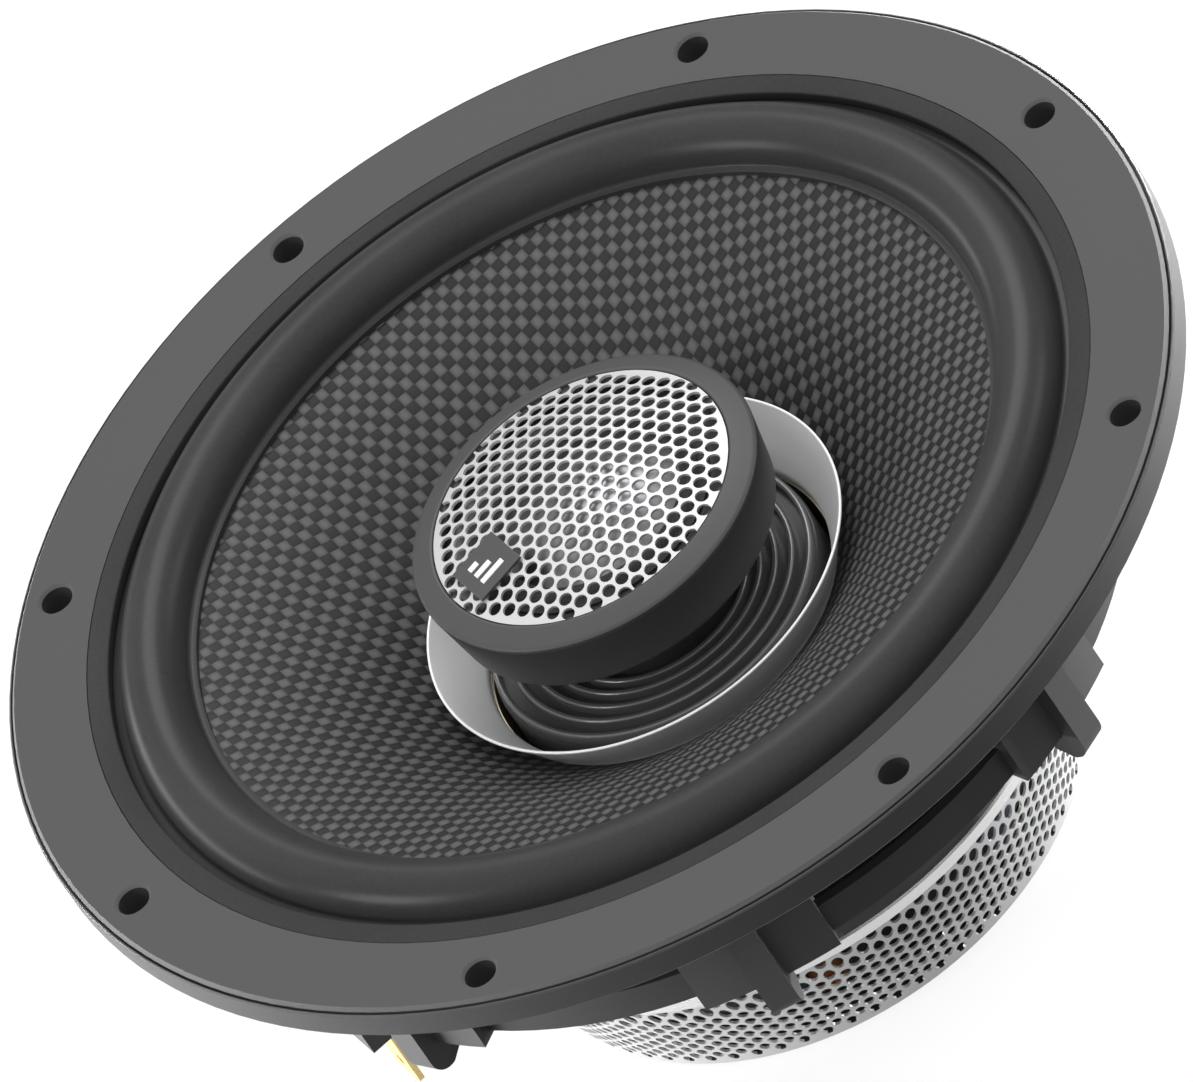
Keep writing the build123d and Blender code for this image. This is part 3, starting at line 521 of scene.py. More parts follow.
braid = metal("copper_braid", (0.72, 0.42, 0.26), 0.4, shade=0.5, lines=5000.0)


# ---------------------------------------------------------------- perforated sheet tree
ROW_OFFSET = 2000.75      # keeps the row count above nought and away from its rounding point
HEXAGON_REACH = 1 / math.sqrt(3)    # centre to corner, for a width of one


def hexagon_cell(tree, wide, high):
    """One six-sided cell, point to point along Y, stretched to the row's pitch and step."""
    hexagon = tree.nodes.new("GeometryNodeMeshCircle")
    hexagon.fill_type = "NGON"
    hexagon.inputs["Vertices"].default_value = 6
    hexagon.inputs["Radius"].default_value = 1.0
    pointed = tree.nodes.new("GeometryNodeTransform")
    tree.links.new(hexagon.outputs["Mesh"], pointed.inputs["Geometry"])
    pointed.inputs["Rotation"].default_value = (0, 0, math.pi / 6)
    scale = tree.nodes.new("ShaderNodeCombineXYZ")
    tree.links.new(wide, scale.inputs[0])
    tree.links.new(high, scale.inputs[1])
    scale.inputs[2].default_value = 1.0
    sized = tree.nodes.new("GeometryNodeTransform")
    tree.links.new(pointed.outputs[0], sized.inputs["Geometry"])
    tree.links.new(scale.outputs[0], sized.inputs["Scale"])
    return sized.outputs[0]


def opened_cell(tree, cell, hole_share):
    """The cell with a smaller hexagon cut out of its middle."""
    inset = tree.nodes.new("GeometryNodeExtrudeMesh")
    inset.mode = "FACES"
    tree.links.new(cell, inset.inputs["Mesh"])
    inset.inputs["Offset Scale"].default_value = 0.0
    shrunk = tree.nodes.new("GeometryNodeScaleElements")
    tree.links.new(inset.outputs["Mesh"], shrunk.inputs["Geometry"])
    tree.links.new(inset.outputs["Top"], shrunk.inputs["Selection"])
    tree.links.new(hole_share, shrunk.inputs["Scale"])
    opened = tree.nodes.new("GeometryNodeDeleteGeometry")
    opened.domain = "FACE"
    tree.links.new(shrunk.outputs[0], opened.inputs["Geometry"])
    tree.links.new(inset.outputs["Top"], opened.inputs["Selection"])
    return opened.outputs[0]


def perforated_tree():
    """Flat sheet of hexagonal cells, holed or whole, nearest neighbours along X."""
    tree = bpy.data.node_groups.new("perforated_sheet", "GeometryNodeTree")
    socket(tree, "Geometry", GEOMETRY)
    for name, kind, default in (("Columns", "NodeSocketInt", 20), ("Rows", "NodeSocketInt", 20),
                                ("Pitch", FLOAT, 0.002), ("Row Step", FLOAT, 0.00173),
                                ("Hole Share", FLOAT, 0.66), ("Holed Half Length", FLOAT, 1.0),
                                ("Holed Radius", FLOAT, 1.0), ("Finish", "NodeSocketMaterial", None)):
        socket(tree, name, kind, default=default)
    socket(tree, "Geometry", GEOMETRY, out=True)
    new, wire = tree.nodes.new, tree.links.new
    given = new("NodeGroupInput").outputs

    def calc(operation, first, second=None):
        """Maths in this tree."""
        return maths(tree, operation, first, second)

    grid = new("GeometryNodeMeshGrid")
    wire(calc("MULTIPLY", calc("SUBTRACT", given["Columns"], 1.0), given["Pitch"]), grid.inputs["Size X"])
    wire(calc("MULTIPLY", calc("SUBTRACT", given["Rows"], 1.0), given["Row Step"]), grid.inputs["Size Y"])
    wire(given["Columns"], grid.inputs["Vertices X"])
    wire(given["Rows"], grid.inputs["Vertices Y"])
    parts = new("ShaderNodeSeparateXYZ")
    wire(new("GeometryNodeInputPosition").outputs[0], parts.inputs[0])
    x, y = parts.outputs[0], parts.outputs[1]
    odd = calc("MODULO", calc("FLOOR", calc("ADD", calc("DIVIDE", y, given["Row Step"]), ROW_OFFSET)), 2.0)
    shift = new("ShaderNodeCombineXYZ")
    wire(calc("MULTIPLY", odd, calc("MULTIPLY", given["Pitch"], 0.5)), shift.inputs[0])
    staggered = new("GeometryNodeSetPosition")
    wire(grid.outputs["Mesh"], staggered.inputs["Geometry"])
    wire(shift.outputs[0], staggered.inputs["Offset"])

    from_centre = calc("SQRT", calc("ADD", calc("MULTIPLY", x, x), calc("MULTIPLY", y, y)))
    in_length = calc("LESS_THAN", calc("ABSOLUTE", x), given["Holed Half Length"])
    in_round = calc("LESS_THAN", from_centre, given["Holed Radius"])
    holed = calc("MULTIPLY", in_length, in_round)
    whole_cell = hexagon_cell(tree, calc("MULTIPLY", given["Pitch"], HEXAGON_REACH),
                              calc("MULTIPLY", given["Row Step"], 2 / 3))
    open_cell = opened_cell(tree, whole_cell, given["Hole Share"])
    sheets = new("GeometryNodeJoinGeometry")
    for cell, chosen in ((open_cell, holed), (whole_cell, calc("SUBTRACT", 1.0, holed))):
        spread = new("GeometryNodeInstanceOnPoints")
        wire(staggered.outputs[0], spread.inputs["Points"])
        wire(cell, spread.inputs["Instance"])
        wire(calc("GREATER_THAN", chosen, 0.5), spread.inputs["Selection"])
        wire(spread.outputs[0], sheets.inputs[0])
    solid = new("GeometryNodeRealizeInstances")
    wire(sheets.outputs[0], solid.inputs[0])
    merged = new("GeometryNodeMergeByDistance")
    wire(solid.outputs[0], merged.inputs["Geometry"])
    merged.inputs["Distance"].default_value = 0.05 * MM
    coat = new("GeometryNodeSetMaterial")
    wire(merged.outputs[0], coat.inputs["Geometry"])
    wire(given["Finish"], coat.inputs["Material"])
    wire(coat.outputs[0], new("NodeGroupOutput").inputs[0])
    return tree


PERFORATED = perforated_tree()


def perforated_sheet(name, finish, **sizes):
    """Runs the sheet tree with the given sizes and returns it as a plain flat mesh."""
    piece = link(name, bpy.data.meshes.new(name))
    modifier = piece.modifiers.new("sheet", "NODES")
    modifier.node_group = PERFORATED
    values = {key.replace("_", " "): value for key, value in sizes.items()}
    values["Finish"] = finish
    for item in PERFORATED.interface.items_tree:
        if item.name in values and item.in_out == "INPUT":
            modifier[item.identifier] = values[item.name]
    bake_modifiers(piece)
    return piece


def thicken(piece, thickness):
    """Rounds the holes and gives the sheet its thickness, inwards from its outer face."""
    smooth = piece.modifiers.new("round_holes", "SUBSURF")
    smooth.levels = 1
    smooth.render_levels = 1
    smooth.boundary_smooth = "PRESERVE_CORNERS"
    wall = piece.modifiers.new("wall", "SOLIDIFY")
    wall.thickness = thickness
    wall.offset = -1
    wall.use_even_offset = False
    bake_modifiers(piece)
    piece.data.shade_smooth()
    piece.data.set_sharp_from_angle(angle=math.radians(40))


# ---------------------------------------------------------------- basket and trim
FACE_EDGE_R = 81.0 * MM
BOLT_HOLES, BOLT_CIRCLE_R, HOLE_WALL_R = 8, 77.1 * MM, 2.4 * MM
BAND_R, BAND_HALF_WALL = 62.5 * MM, 1.2 * MM
BAND_TOP, BAND_FOOT = -18.0 * MM, -23.0 * MM
FACE_DEPTH = 0.6 * MM      # the flange's face and its rounded corners lie above this depth
FLAT_SLOPE = 0.97          # steepness of a normal on the flat of the face


def make_basket():
    """Painted casting: its flat face, the rim outside it and the band under the flange painted darker as
    painted shade, and its rounded corners painted lighter as a painted highlight.
    """
    piece = moulded_copy("basket", "basket_frame", edge=0.3 * MM, angle=30)
    place(piece, "basket", "basket", cast_paint)
    centres, normals = faces_of(piece)
    reach = np.hypot(centres[:, 0], centres[:, 1])
    slope = normals[:, 2]
    height = centres[:, 2]
    on_face = (height > FLANGE_FRONT - FACE_DEPTH) & (slope > 0.2)
    coat_zone(piece, face_paint, on_face & (slope > FLAT_SLOPE))
    # The face's rounded corners take the lighter tone: painted highlight.
    coat_zone(piece, painted_edge_highlight, on_face & (slope <= FLAT_SLOPE))
    rim = (reach > FACE_EDGE_R) & (slope < 0.9) & (height < FLANGE_FRONT - FACE_DEPTH)
    band = (np.abs(reach - BAND_R) < BAND_HALF_WALL) & (height < BAND_TOP) & (height > BAND_FOOT)
    # Rim and band take the darker copy: painted shade on the side away from the light and under the flange.
    coat_zone(piece, shaded_rim_paint, rim | band)
    pitch = 2 * math.pi / BOLT_HOLES
    round_way = np.arctan2(centres[:, 1], centres[:, 0])
    off = round_way - np.round(round_way / pitch) * pitch
    from_hole = np.hypot(reach * np.cos(off) - BOLT_CIRCLE_R, reach * np.sin(off))
    # Walls of the bolt holes are painted near black: painted shade inside the holes.
    coat_zone(piece, painted_shade_lining, (from_hole < HOLE_WALL_R) & (np.abs(slope) < 0.3))


GASKET_INNER_R = 68.0 * MM


def ring_outline(inner, outer, bottom, top):
    """Plain rectangle of a ring or tube."""
    return [(inner, bottom), (outer, bottom), (outer, top), (inner, top)]


def make_gasket():
    """Flat foam ring over the surround's outer lip."""
    low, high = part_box("gasket_ring")
    outline = soften(ring_outline(GASKET_INNER_R, high[0], low[2], high[2]), 0.3 * MM)
    place(revolve("gasket_trim", outline), "basket", "gasket_ring", gasket_foam)


# ---------------------------------------------------------------- cone assembly
ROLL_CENTRE = 61.9 * MM
ROLL_R = 4.66 * MM
ROLL_WALL = 0.7 * MM
CONE_NECK, CONE_NECK_Z = 25.2 * MM, -16.5 * MM
CONE_EDGE = 56.2 * MM
CONE_BULGE = 2.3 * MM
CONE_WALL = 0.8 * MM
CONE_BACK_SHIFT = 0.3 * MM     # the back stands this much further out than the face


def make_surround():
    """Half roll with rounded roots, an inner lip on the cone and an outer lip under the gasket."""
    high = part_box("surround")[1]
    base = high[2] - ROLL_R
    below = base - ROLL_WALL
    outer_edge = high[0]
    inner_foot, outer_foot = ROLL_CENTRE - ROLL_R, ROLL_CENTRE + ROLL_R
    crest = arc((ROLL_CENTRE, base), ROLL_R, 172, 8, 40)
    hollow = arc((ROLL_CENTRE, base), ROLL_R - ROLL_WALL, 4, 176, 36)
    top = [(CONE_EDGE, base)] + root(inner_foot, base, 1) + crest + root(outer_foot, base, -1) + \
        [(outer_edge, base)]
    under = [(outer_edge, below), (outer_foot - ROLL_WALL, below)] + hollow + \
        [(inner_foot + ROLL_WALL, below), (CONE_EDGE, below)]
    piece = revolve("rubber_surround", top + under, segments=360, crease=50)
    piece.data.materials.append(rubber)
    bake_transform(piece)
    radius_blend(piece)
    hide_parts("surround")


ROOT_REACH = 0.55 * MM
ROOT_STEPS = ((-1, 0), (-0.35, 0.12), (0.02, 0.6))     # out and up, in shares of the reach


def root(edge, base, side):
    """Small fillet between a lip and the roll's foot: side is 1 at the inner foot, -1 at the outer."""
    points = [(edge + side * out * ROOT_REACH, base + up * ROOT_REACH) for out, up in ROOT_STEPS]
    return points[::side]


def radius_blend(piece):
    """Reads the piece's points and changes nothing; no motion is shared out by distance from the axis."""
    points = coordinates(piece)


def make_cone():
    """Curved cone face, its thickness, and the flat land under the surround."""
    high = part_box("cone")[1]
    edge_z = high[2]
    radii = np.linspace(CONE_NECK, CONE_EDGE, 48)
    share = (radii - CONE_NECK) / (CONE_EDGE - CONE_NECK)
    heights = CONE_NECK_Z + (edge_z - CONE_NECK_Z) * share + 4 * CONE_BULGE * share * (1 - share)
    front = list(zip(radii, heights))
    back = [(r + CONE_BACK_SHIFT, z - CONE_WALL) for r, z in front[::-1]]
    back[-1] = (CONE_NECK, CONE_NECK_Z - CONE_WALL)
    rim = [(high[0], edge_z), (high[0], edge_z - CONE_WALL)]
    place(revolve("woven_cone", front + rim + back, segments=360, crease=45), "cone", "cone", woven_fibre)


COLLAR_WALL = 0.35 * MM
COLLAR_TUBE_R, COLLAR_TUBE_OUTER_R = 24.3 * MM, 25.15 * MM
COLLAR_BEND_R, COLLAR_BEND_OUTER_R = 26.2 * MM, 26.7 * MM
COLLAR_BEND_Z = -13.5 * MM


def make_collar():
    """Bright flared ring in the cone's neck: a straight tube, a bend and a thin flare up to its rim."""
    low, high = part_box("cone_collar")
    rim_r, top, bottom = high[0], high[2], low[2]
    inside = [(COLLAR_TUBE_R, bottom), (COLLAR_TUBE_R, CONE_NECK_Z), (COLLAR_BEND_R, COLLAR_BEND_Z)]
    lip = [(rim_r - COLLAR_WALL, top - 0.05 * MM), (rim_r - COLLAR_WALL * 0.5, top),
           (rim_r, top - 0.1 * MM), (rim_r, top - 0.3 * MM)]
    outside = [(COLLAR_BEND_OUTER_R, COLLAR_BEND_Z - 0.1 * MM), (COLLAR_TUBE_OUTER_R, CONE_NECK_Z + 0.1 * MM),
               (COLLAR_TUBE_OUTER_R, bottom)]
    outline = soften(inside + lip + outside, 0.8 * MM, 5)
    place(revolve("flared_collar", outline, crease=50), "cone", "cone_collar", bright_collar)


FORMER_INNER_R = 24.2 * MM
COIL_INNER_R = 24.6 * MM
COIL_TURNS = 32
WIRE_PROUD = 0.12 * MM


def make_former():
    """Thin tube that carries the voice coil."""
    low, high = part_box("coil_former")
    outline = ring_outline(FORMER_INNER_R, high[0], low[2], high[2])
    place(revolve("former_tube", outline), "cone", "coil_former", foil)


def make_voice_coil():
    """Winding with one small ridge for each turn of wire."""
    low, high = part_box("voice_coil")
    step = (high[2] - low[2]) / COIL_TURNS
    valley_r = high[0] - WIRE_PROUD
    wire = []
    for turn in range(COIL_TURNS):
        wire += [(valley_r, low[2] + turn * step), (high[0], low[2] + (turn + 0.5) * step)]
    wire.append((valley_r, high[2]))
    outline = [(COIL_INNER_R, high[2]), (COIL_INNER_R, low[2])] + wire
    place(revolve("coil_winding", outline, segments=192), "cone", "voice_coil", copper)


SPIDER_WAVES = 6
SPIDER_HALF_WAVE = 0.8 * MM
SPIDER_HALF_WALL = 0.3 * MM
SPIDER_INNER_FLAT, SPIDER_OUTER_FLAT = 1.4 * MM, 3.2 * MM


def make_spider():
    """Corrugated cloth disc, with rounded waves, between the former and the basket's ledge."""
    low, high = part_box("spider")
    outer = high[0]
    start, finish = COIL_INNER_R + SPIDER_INNER_FLAT, outer - SPIDER_OUTER_FLAT
    middle = (low[2] + high[2]) / 2
    radii = np.linspace(start, finish, SPIDER_WAVES * 16 + 1)
    swing = -np.sin((radii - start) / (finish - start) * SPIDER_WAVES * 2 * math.pi) * SPIDER_HALF_WAVE
    line = [(COIL_INNER_R, middle)] + list(zip(radii, middle + swing)) + [(outer, middle)]
    upper = [(r, z + SPIDER_HALF_WALL) for r, z in line]
    lower = [(r, z - SPIDER_HALF_WALL) for r, z in line[::-1]]
    outline = upper + lower
    piece = revolve("spider_disc", outline, segments=240, crease=60)
    piece.data.materials.append(spider_cloth)
    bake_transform(piece)
    radius_blend(piece)
    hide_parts("spider")


# ---------------------------------------------------------------- plug under the tweeter
RIDGES = [22.4 * MM, 19.9 * MM, 17.6 * MM, 15.4 * MM, 13.4 * MM]
RIDGE_HALF, RIDGE_HEIGHT = 0.45 * MM, 1.5 * MM
PLUG_BORE_R, PLUG_FOOT_WIDTH = 6.0 * MM, 1.8 * MM


def make_plug():
    """Black disc round the tweeter's post, with rounded ridges one inside another."""
    low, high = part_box("ringed_plug")
    outer, bottom, crest = high[0], low[2], high[2]
    shelf = crest - RIDGE_HEIGHT
    half = RIDGE_HALF
    outline = [(PLUG_BORE_R, bottom), (outer - PLUG_FOOT_WIDTH, bottom), (outer, bottom),
               (outer, shelf - 0.4 * MM), (outer - 0.2 * MM, shelf)]
    for ridge in RIDGES:
        crown = arc((ridge, crest - half), half, 0, 180, 12)
        outline += [(ridge + half, shelf)] + crown + [(ridge - half, shelf)]
    outline += [(PLUG_BORE_R, shelf)]
    piece = revolve("ringed_plug_body", outline, crease=60)
    place(piece, "basket", "ringed_plug", black_plastic)
    centres, _ = faces_of(piece)
    # Ridge tops take the lighter copy of the black moulding: painted highlight.
    coat_zone(piece, painted_highlight_ridge, centres[:, 2] > shelf + half)


# ---------------------------------------------------------------- tweeter
CUP_FOOT_R, CUP_FOOT_CORNER = 23.1 * MM, 1.2 * MM
CUP_WALL, CUP_BORE_R = 1.5 * MM, 2.2 * MM


def make_tweeter_housing():
    """Shallow cup that widens towards the listener, with a bolt hole in its floor."""
    low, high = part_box("tweeter_housing")
    top_r, floor, top = high[0], low[2], high[2]
    inner_floor = floor + CUP_WALL
    outline = [(CUP_BORE_R, floor), (CUP_FOOT_R - CUP_FOOT_CORNER, floor),
               (CUP_FOOT_R, floor + CUP_FOOT_CORNER), (top_r, top), (top_r - CUP_WALL, top),
               (CUP_FOOT_R - CUP_WALL, inner_floor), (CUP_BORE_R, inner_floor)]
    place(revolve("tweeter_cup", soften(outline, 0.35 * MM)), "basket", "tweeter_housing", housing_plastic)


BEZEL_INNER_R, BEZEL_LIP_R = 21.0 * MM, 19.9 * MM
BEZEL_LIP_DROP = 0.7 * MM


def make_bezel():
    """Ring round the grille: a sloping front and a lower lip under the grille's edge."""
    low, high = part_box("tweeter_bezel")
    outer, base, front = high[0], low[2], high[2]
    lip_z = front - BEZEL_LIP_DROP
    outline = [(BEZEL_LIP_R, base), (outer, base), (outer, base + 0.25 * MM),
               (outer - 0.35 * MM, base + 0.55 * MM), (BEZEL_INNER_R + 0.3 * MM, front),
               (BEZEL_INNER_R, front - 0.1 * MM), (BEZEL_INNER_R, lip_z), (BEZEL_LIP_R, lip_z)]
    place(revolve("tweeter_front_ring", soften(outline, 0.2 * MM)), "basket", "tweeter_bezel", ring_plastic)


DOME_ROLL_R, DOME_ROLL_HALF = 14.6 * MM, 1.2 * MM
DOME_LIP_R, DOME_LIP_RISE = 12.9 * MM, 0.1 * MM
DOME_ROLL_WALL = 0.33 * MM


def make_dome_roll():
    """Small cloth roll: inner lip on the tweeter's moving dome, outer edge on the faceplate."""
    low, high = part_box("tweeter_dome_surround")
    base, edge_r = low[2], high[0]
    crest = high[2] - DOME_ROLL_WALL
    line = [(DOME_LIP_R, base + DOME_LIP_RISE)]
    for share in np.linspace(-1, 1, 17):
        foot = base + (DOME_LIP_RISE if share < 0 else 0)
        line.append((DOME_ROLL_R + share * DOME_ROLL_HALF, foot + (crest - foot) * (1 - share * share)))
    line.append((edge_r, base))
    outline = [(r, z + DOME_ROLL_WALL) for r, z in line] + line[::-1]
    piece = revolve("dome_edge_roll", outline, segments=192, crease=60)
    piece.data.materials.append(edge_cloth)
    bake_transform(piece)
    radius_blend(piece)
    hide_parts("tweeter_dome_surround")


BAR_HEIGHTS = (1.5 * MM, 2.7 * MM, 3.9 * MM)
BAR_W, BAR_GAP = 0.95 * MM, 0.65 * MM
BAR_PROUD, BAR_LIFT = 0.12 * MM, 0.2 * MM


def make_badge():
    """Rounded dark tile, and three plain level bars standing a little proud of it."""
    tile = moulded_copy("grille_badge", "badge_tile", edge=0.12 * MM)
    place(tile, "basket", "grille_badge", badge_gloss)
    top = max(nodes["grille_badge"].data.polygons, key=lambda face: face.normal.z).normal.normalized()
    low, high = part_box("grille_badge")
    centre = (Vector(low) + Vector(high)) / 2 + top * BAR_LIFT
    across = Vector((0, -1, 0))
    upward = top.cross(across)
    bm = bmesh.new()
    for index, height in enumerate(BAR_HEIGHTS):
        side = (index - 1) * (BAR_W + BAR_GAP)
        middle = centre + across * side + upward * (height / 2 - BAR_HEIGHTS[-1] / 2)
        turn = Matrix((across, upward, top)).transposed().to_4x4()
        stretch = Matrix.Diagonal((BAR_W, height, 2 * BAR_PROUD, 1))
        bmesh.ops.create_cube(bm, size=1, matrix=Matrix.Translation(middle) @ turn @ stretch)
    bmesh.ops.bevel(bm, geom=bm.edges[:], offset=0.05 * MM, segments=2, affect="EDGES")
    mesh = bpy.data.meshes.new("badge_bars")
    bm.to_mesh(mesh)
    bm.free()
    bars = link("badge_bars", mesh)
    mesh.materials.append(badge_white)
    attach(bars, "basket")


GRILLE_PITCH = 2.287 * MM
GRILLE_EDGE_RISE = 0.5 * MM
RIM_GAP = 0.05 * MM
SHEET_WALL = 0.4 * MM


def make_tweeter_grille():
    """Perforated sheet pressed to a shallow dome inside the bezel."""
    low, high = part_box("tweeter_grille")
    rim = high[0]
    edge_z = low[2] + GRILLE_EDGE_RISE
    rise = high[2] - edge_z
    across = 2 * rim / GRILLE_PITCH
    rows = 2 * int(across / 1.7) + 3
    piece = perforated_sheet("tweeter_mesh", bright_sheet, Columns=int(across) + 4, Rows=rows,
                             Pitch=GRILLE_PITCH, Row_Step=GRILLE_PITCH * math.sqrt(3) / 2, Hole_Share=0.86,
                             Holed_Half_Length=1.0, Holed_Radius=rim - 0.2 * MM)
    points = coordinates(piece)
    reach = np.hypot(points[:, 0], points[:, 1])
    keep_inside(piece, reach, rim)
    points = coordinates(piece)
    reach = np.hypot(points[:, 0], points[:, 1])
    squeeze = np.minimum(1, (rim - RIM_GAP) / np.maximum(reach, 1e-9))
    points[:, :2] *= squeeze[:, None]
    reach = np.minimum(reach, rim - RIM_GAP)
    ball = (rim * rim + rise * rise) / (2 * rise)
    points[:, 2] = edge_z + rise - ball + np.sqrt(ball * ball - reach * reach) - 0.02 * MM
    move_vertices(piece, points)
    clean(piece)
    thicken(piece, SHEET_WALL)
    place(piece, "basket", "tweeter_grille", bright_sheet)


def keep_inside(piece, reach, limit):
    """Deletes the cells that lie wholly outside the limit."""
    bm = bmesh.new()
    bm.from_mesh(piece.data)
    bm.verts.ensure_lookup_table()
    outside = [face for face in bm.faces if all(reach[v.index] > limit for v in face.verts)]
    bmesh.ops.delete(bm, geom=outside, context="FACES")
    bm.to_mesh(piece.data)
    bm.free()


def clean(piece):
    """Merges points that were pressed onto each other."""
    bm = bmesh.new()
    bm.from_mesh(piece.data)
    bmesh.ops.remove_doubles(bm, verts=bm.verts, dist=0.04 * MM)
    bmesh.ops.dissolve_degenerate(bm, edges=bm.edges, dist=0.02 * MM)
    bm.to_mesh(piece.data)
    bm.free()


# ---------------------------------------------------------------- motor cover
COVER_HOLES_ROUND = 75
COVER_ROWS = 14
COVER_EVEN_ROWS = 12
COVER_ROW_STEP = 1.07 * MM
COVER_FIRST_ROW_Z = 1.73 * MM       # above the cover's lower edge
COVER_WIDE_ROWS = (2.3 * MM, 0.75 * MM)   # below its upper edge
COVER_FIRST_HOLE = math.radians(-104.8)
COVER_FOOT_R, COVER_LIP_R, COVER_MEAN_R = 39.7 * MM, 32.05 * MM, 42.0 * MM
COVER_LIP_WALL = 0.7 * MM
COVER_FOOT_ROW = -1.62     # place of the lower edge, counted in rows from the first


def make_cover():
    """Tapered perforated wall, staggered rows that widen near the front, and a turned-in lip at the back."""
    low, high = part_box("mesh_cover")
    top_r, top, bottom = high[0], high[2], low[2]
    columns_round = COVER_HOLES_ROUND * 2
    around = 2 * math.pi * COVER_MEAN_R
    middle_row = COVER_ROWS / 2
    piece = perforated_sheet("motor_cover_mesh", cover_sheet, Columns=11, Rows=columns_round,
                             Pitch=2 * COVER_ROW_STEP, Row_Step=around / columns_round, Hole_Share=0.8,
                             Holed_Half_Length=(middle_row + 0.5) * COVER_ROW_STEP, Holed_Radius=1.0)
    points = coordinates(piece)
    row = points[:, 0] / COVER_ROW_STEP + middle_row
    even = [(index, bottom + COVER_FIRST_ROW_Z + index * COVER_ROW_STEP) for index in range(COVER_EVEN_ROWS)]
    wide = [(COVER_EVEN_ROWS + index, top - drop) for index, drop in enumerate(COVER_WIDE_ROWS)]
    known = [(COVER_FOOT_ROW, bottom)] + even + wide + [(COVER_ROWS, top)]
    height = np.interp(row, [k[0] for k in known], [k[1] for k in known])
    angle = points[:, 1] / around * 2 * math.pi + COVER_FIRST_HOLE
    radius = COVER_FOOT_R + (top_r - COVER_FOOT_R) * (height - bottom) / (top - bottom)
    move_vertices(piece, np.stack([radius * np.cos(angle), radius * np.sin(angle), height], axis=1))
    clean(piece)
    face_outwards(piece)
    thicken(piece, SHEET_WALL)
    lip = ring_outline(COVER_LIP_R, COVER_FOOT_R - 0.1 * MM, bottom, bottom + COVER_LIP_WALL)
    join(piece, revolve("cover_lip", soften(lip, 0.2 * MM), segments=180))
    place(piece, "basket", "mesh_cover", cover_sheet)
    centres, normals = faces_of(piece)
    outward = centres[:, 0] * normals[:, 0] + centres[:, 1] * normals[:, 1]
    reach = np.hypot(centres[:, 0], centres[:, 1])
    inner_wall = outward < -0.6 * reach
    lip_top = (normals[:, 2] > 0.9) & (centres[:, 2] < bottom + 2 * MM)
    # Inner side of the cover and the top of its lip are painted near black: painted shade seen through the
    # holes.
    coat_zone(piece, painted_shade_lining, inner_wall | lip_top)


def face_outwards(piece):
    """Turns an open sheet round the axis so that its faces point away from it."""
    centres, normals = faces_of(piece)
    if np.mean(centres[:, 0] * normals[:, 0] + centres[:, 1] * normals[:, 1]) < 0:
        piece.data.flip_normals()


def join(piece, *others):
    """Adds the others' meshes to the piece."""
    bm = bmesh.new()
    for item in (piece, *others):
        bm.from_mesh(item.data)
    bm.to_mesh(piece.data)
    bm.free()
    for item in others:
        bpy.data.objects.remove(item)


# ---------------------------------------------------------------- light and floor
def add_area(name, where, size, power, aim=(0, 0, 0)):
    """White rectangular lamp that the camera can't see, turned towards its aim."""
    data = bpy.data.lights.new(name, "AREA")
    data.shape = "RECTANGLE"
    data.size, data.size_y = size
    data.energy = power
    lamp = bpy.data.objects.new(name, data)
    spot = Vector(where)
    turn = (spot - Vector(aim)).to_track_quat("Z", "Y").to_matrix().to_4x4()
    lamp.matrix_world = Matrix.Translation(spot) @ turn
    lamp.visible_camera = False
    bpy.context.scene.collection.objects.link(lamp)


FLOOR_HALF = 6.0
FLOOR_SEEN = (0.15, 0.15, 0.15)
FLOOR_BOUNCE = (0.07, 0.07, 0.07)
FLOOR_GLOW = 0.84
FLOOR_REFLECTED_GLOW = 0.6


def add_floor():
    """White floor under the speaker: bright to the camera, dull as a light on the speaker."""
    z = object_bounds()[0][2]
    mesh = bpy.data.meshes.new("floor")
    corners = [(x * FLOOR_HALF, y * FLOOR_HALF, z) for x, y in ((-1, -1), (1, -1), (1, 1), (-1, 1))]
    mesh.from_pydata(corners, [], [(0, 1, 2, 3)])
    floor = link("floor", mesh)
    pale = bpy.data.materials.new("pale_floor")
    pale.use_nodes = True
    tree = pale.node_tree
    principled = tree.nodes["Principled BSDF"]
    ray = tree.nodes.new("ShaderNodeLightPath").outputs
    tone = mixed(tree, ray["Is Camera Ray"], FLOOR_BOUNCE, FLOOR_SEEN)
    tree.links.new(tone, principled.inputs["Base Color"])
    principled.inputs["Emission Color"].default_value = (1, 1, 1, 1)
    reflected = maths(tree, "MULTIPLY", ray["Is Glossy Ray"], FLOOR_REFLECTED_GLOW)
    glow = maths(tree, "MULTIPLY_ADD", ray["Is Camera Ray"], FLOOR_GLOW, reflected)
    tree.links.new(glow, principled.inputs["Emission Strength"])
    principled.inputs["Roughness"].default_value = 0.9
    mesh.materials.append(pale)


SKY_LOW = 0.07
SKY_HIGH = 1.4


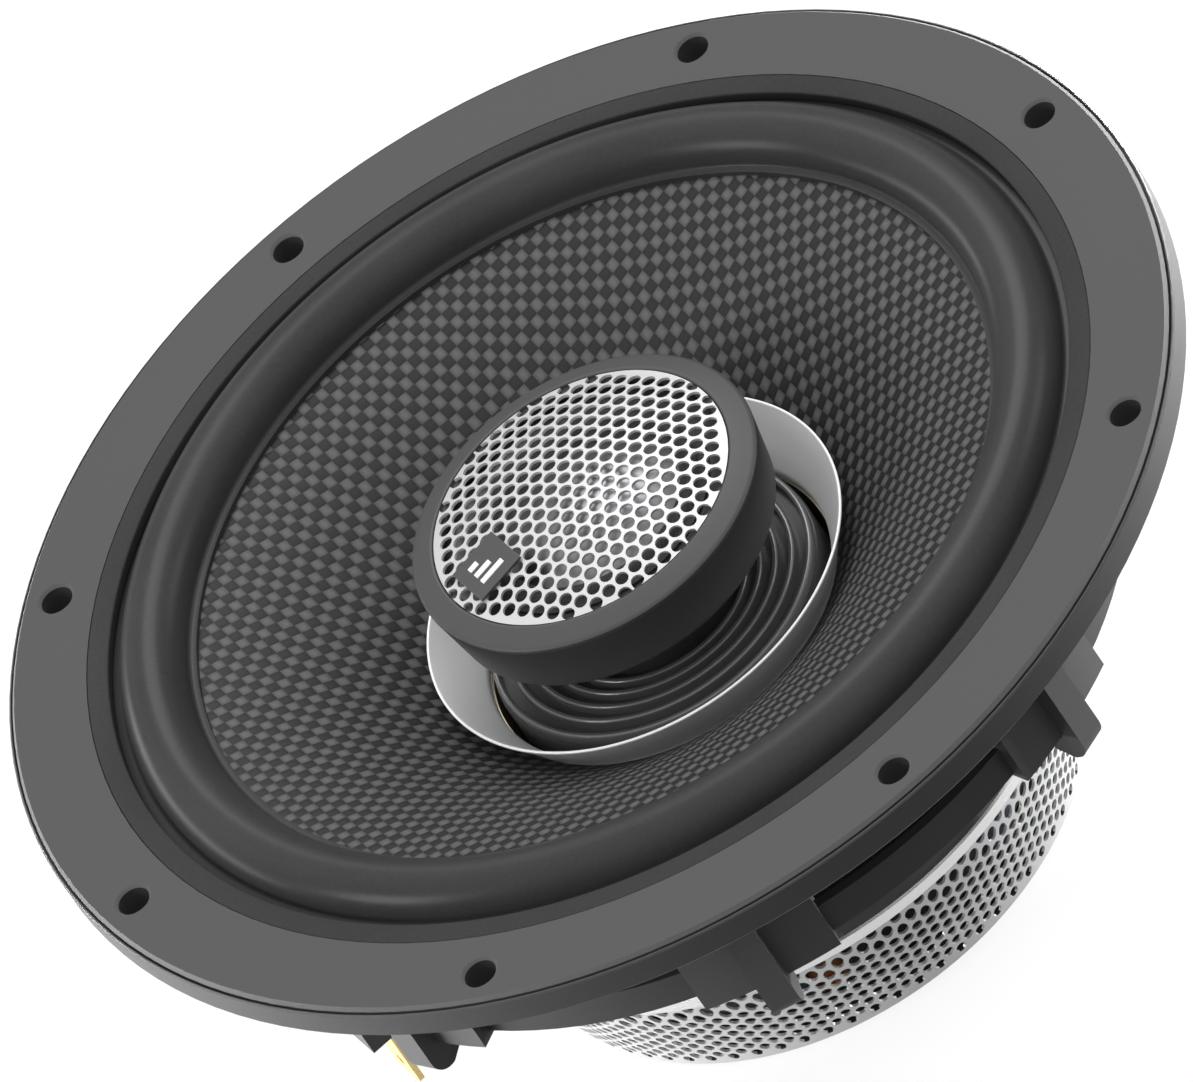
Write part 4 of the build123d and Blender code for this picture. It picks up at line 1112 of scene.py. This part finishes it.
def add_world():
    """White room that is darker low down and brightest overhead."""
    world = bpy.data.worlds.new("studio")
    bpy.context.scene.world = world
    world.use_nodes = True
    tree = world.node_tree
    where = tree.nodes.new("ShaderNodeTexCoord").outputs["Generated"]
    parts = tree.nodes.new("ShaderNodeSeparateXYZ")
    tree.links.new(where, parts.inputs[0])
    ramp = tree.nodes.new("ShaderNodeMapRange")
    ramp.interpolation_type = "SMOOTHSTEP"
    tree.links.new(parts.outputs[2], ramp.inputs["Value"])
    ramp.inputs["From Min"].default_value = 0.0
    ramp.inputs["From Max"].default_value = 1.0
    ramp.inputs["To Min"].default_value = SKY_LOW
    ramp.inputs["To Max"].default_value = SKY_HIGH
    tree.links.new(ramp.outputs[0], tree.nodes["Background"].inputs["Strength"])
    tree.nodes["Background"].inputs["Color"].default_value = (1, 1, 1, 1)


# ---------------------------------------------------------------- assembly
for maker in (make_basket, make_gasket, make_surround, make_cone, make_collar, make_former, make_voice_coil,
              make_spider, make_plug, make_tweeter_housing, make_bezel, make_tweeter_grille, make_badge,
              make_dome_roll, make_cover):
    maker()

PLAIN_FINISHES = {
    "front_plate": zinc_plate, "motor_screws": dark_steel, "yoke_cup": coated_steel, "motor_magnet": nickel,
    "pole_plate": machined_steel, "shorting_ring": copper,
    "crossover_board": board_green, "crossover_capacitors": capacitor_wrap,
    "crossover_inductor": choke_wire, "crossover_resistor": resistor_cement,
    "tweeter_post": satin_aluminium, "tweeter_stem": black_plastic, "tweeter_bolt": machined_steel,
    "tweeter_nut": machined_steel, "tweeter_yoke": machined_steel, "tweeter_magnet": nickel,
    "tweeter_pole": machined_steel, "tweeter_faceplate": black_plastic, "tweeter_dome": dome_foil,
    "tweeter_coil": copper,
    "terminal_block": terminal_plastic, "terminal_tab_positive": gold, "terminal_tab_negative": gold,
    "terminal_rivets": satin_aluminium, "tinsel_leads": braid}

for node, finish in PLAIN_FINISHES.items():
    nodes[node].data.materials.clear()
    nodes[node].data.materials.append(finish)

bpy.context.scene.view_settings.view_transform = "Standard"
add_world()
add_floor()
add_area("top_soft", (0.65, 1.0, 1.35), (0.9, 0.9), 12.0)
add_area("left_strip", (-0.32, 0.15, -0.042), (0.35, 0.026), 3.6, aim=(0, 0.05, -0.02))
add_area("right_strip", (0.32, 0.08, -0.042), (0.35, 0.026), 6.4, aim=(0, 0.03, -0.02))
add_area("back_left_soft", (-0.75, 0.85, 0.08), (0.9, 0.16), 3.0)
add_area("left_fill", (-0.9, 0.08, 0.42), (0.3, 0.3), 3.2)
add_area("right_fill", (0.9, 0.0, 0.42), (0.3, 0.3), 1.0)
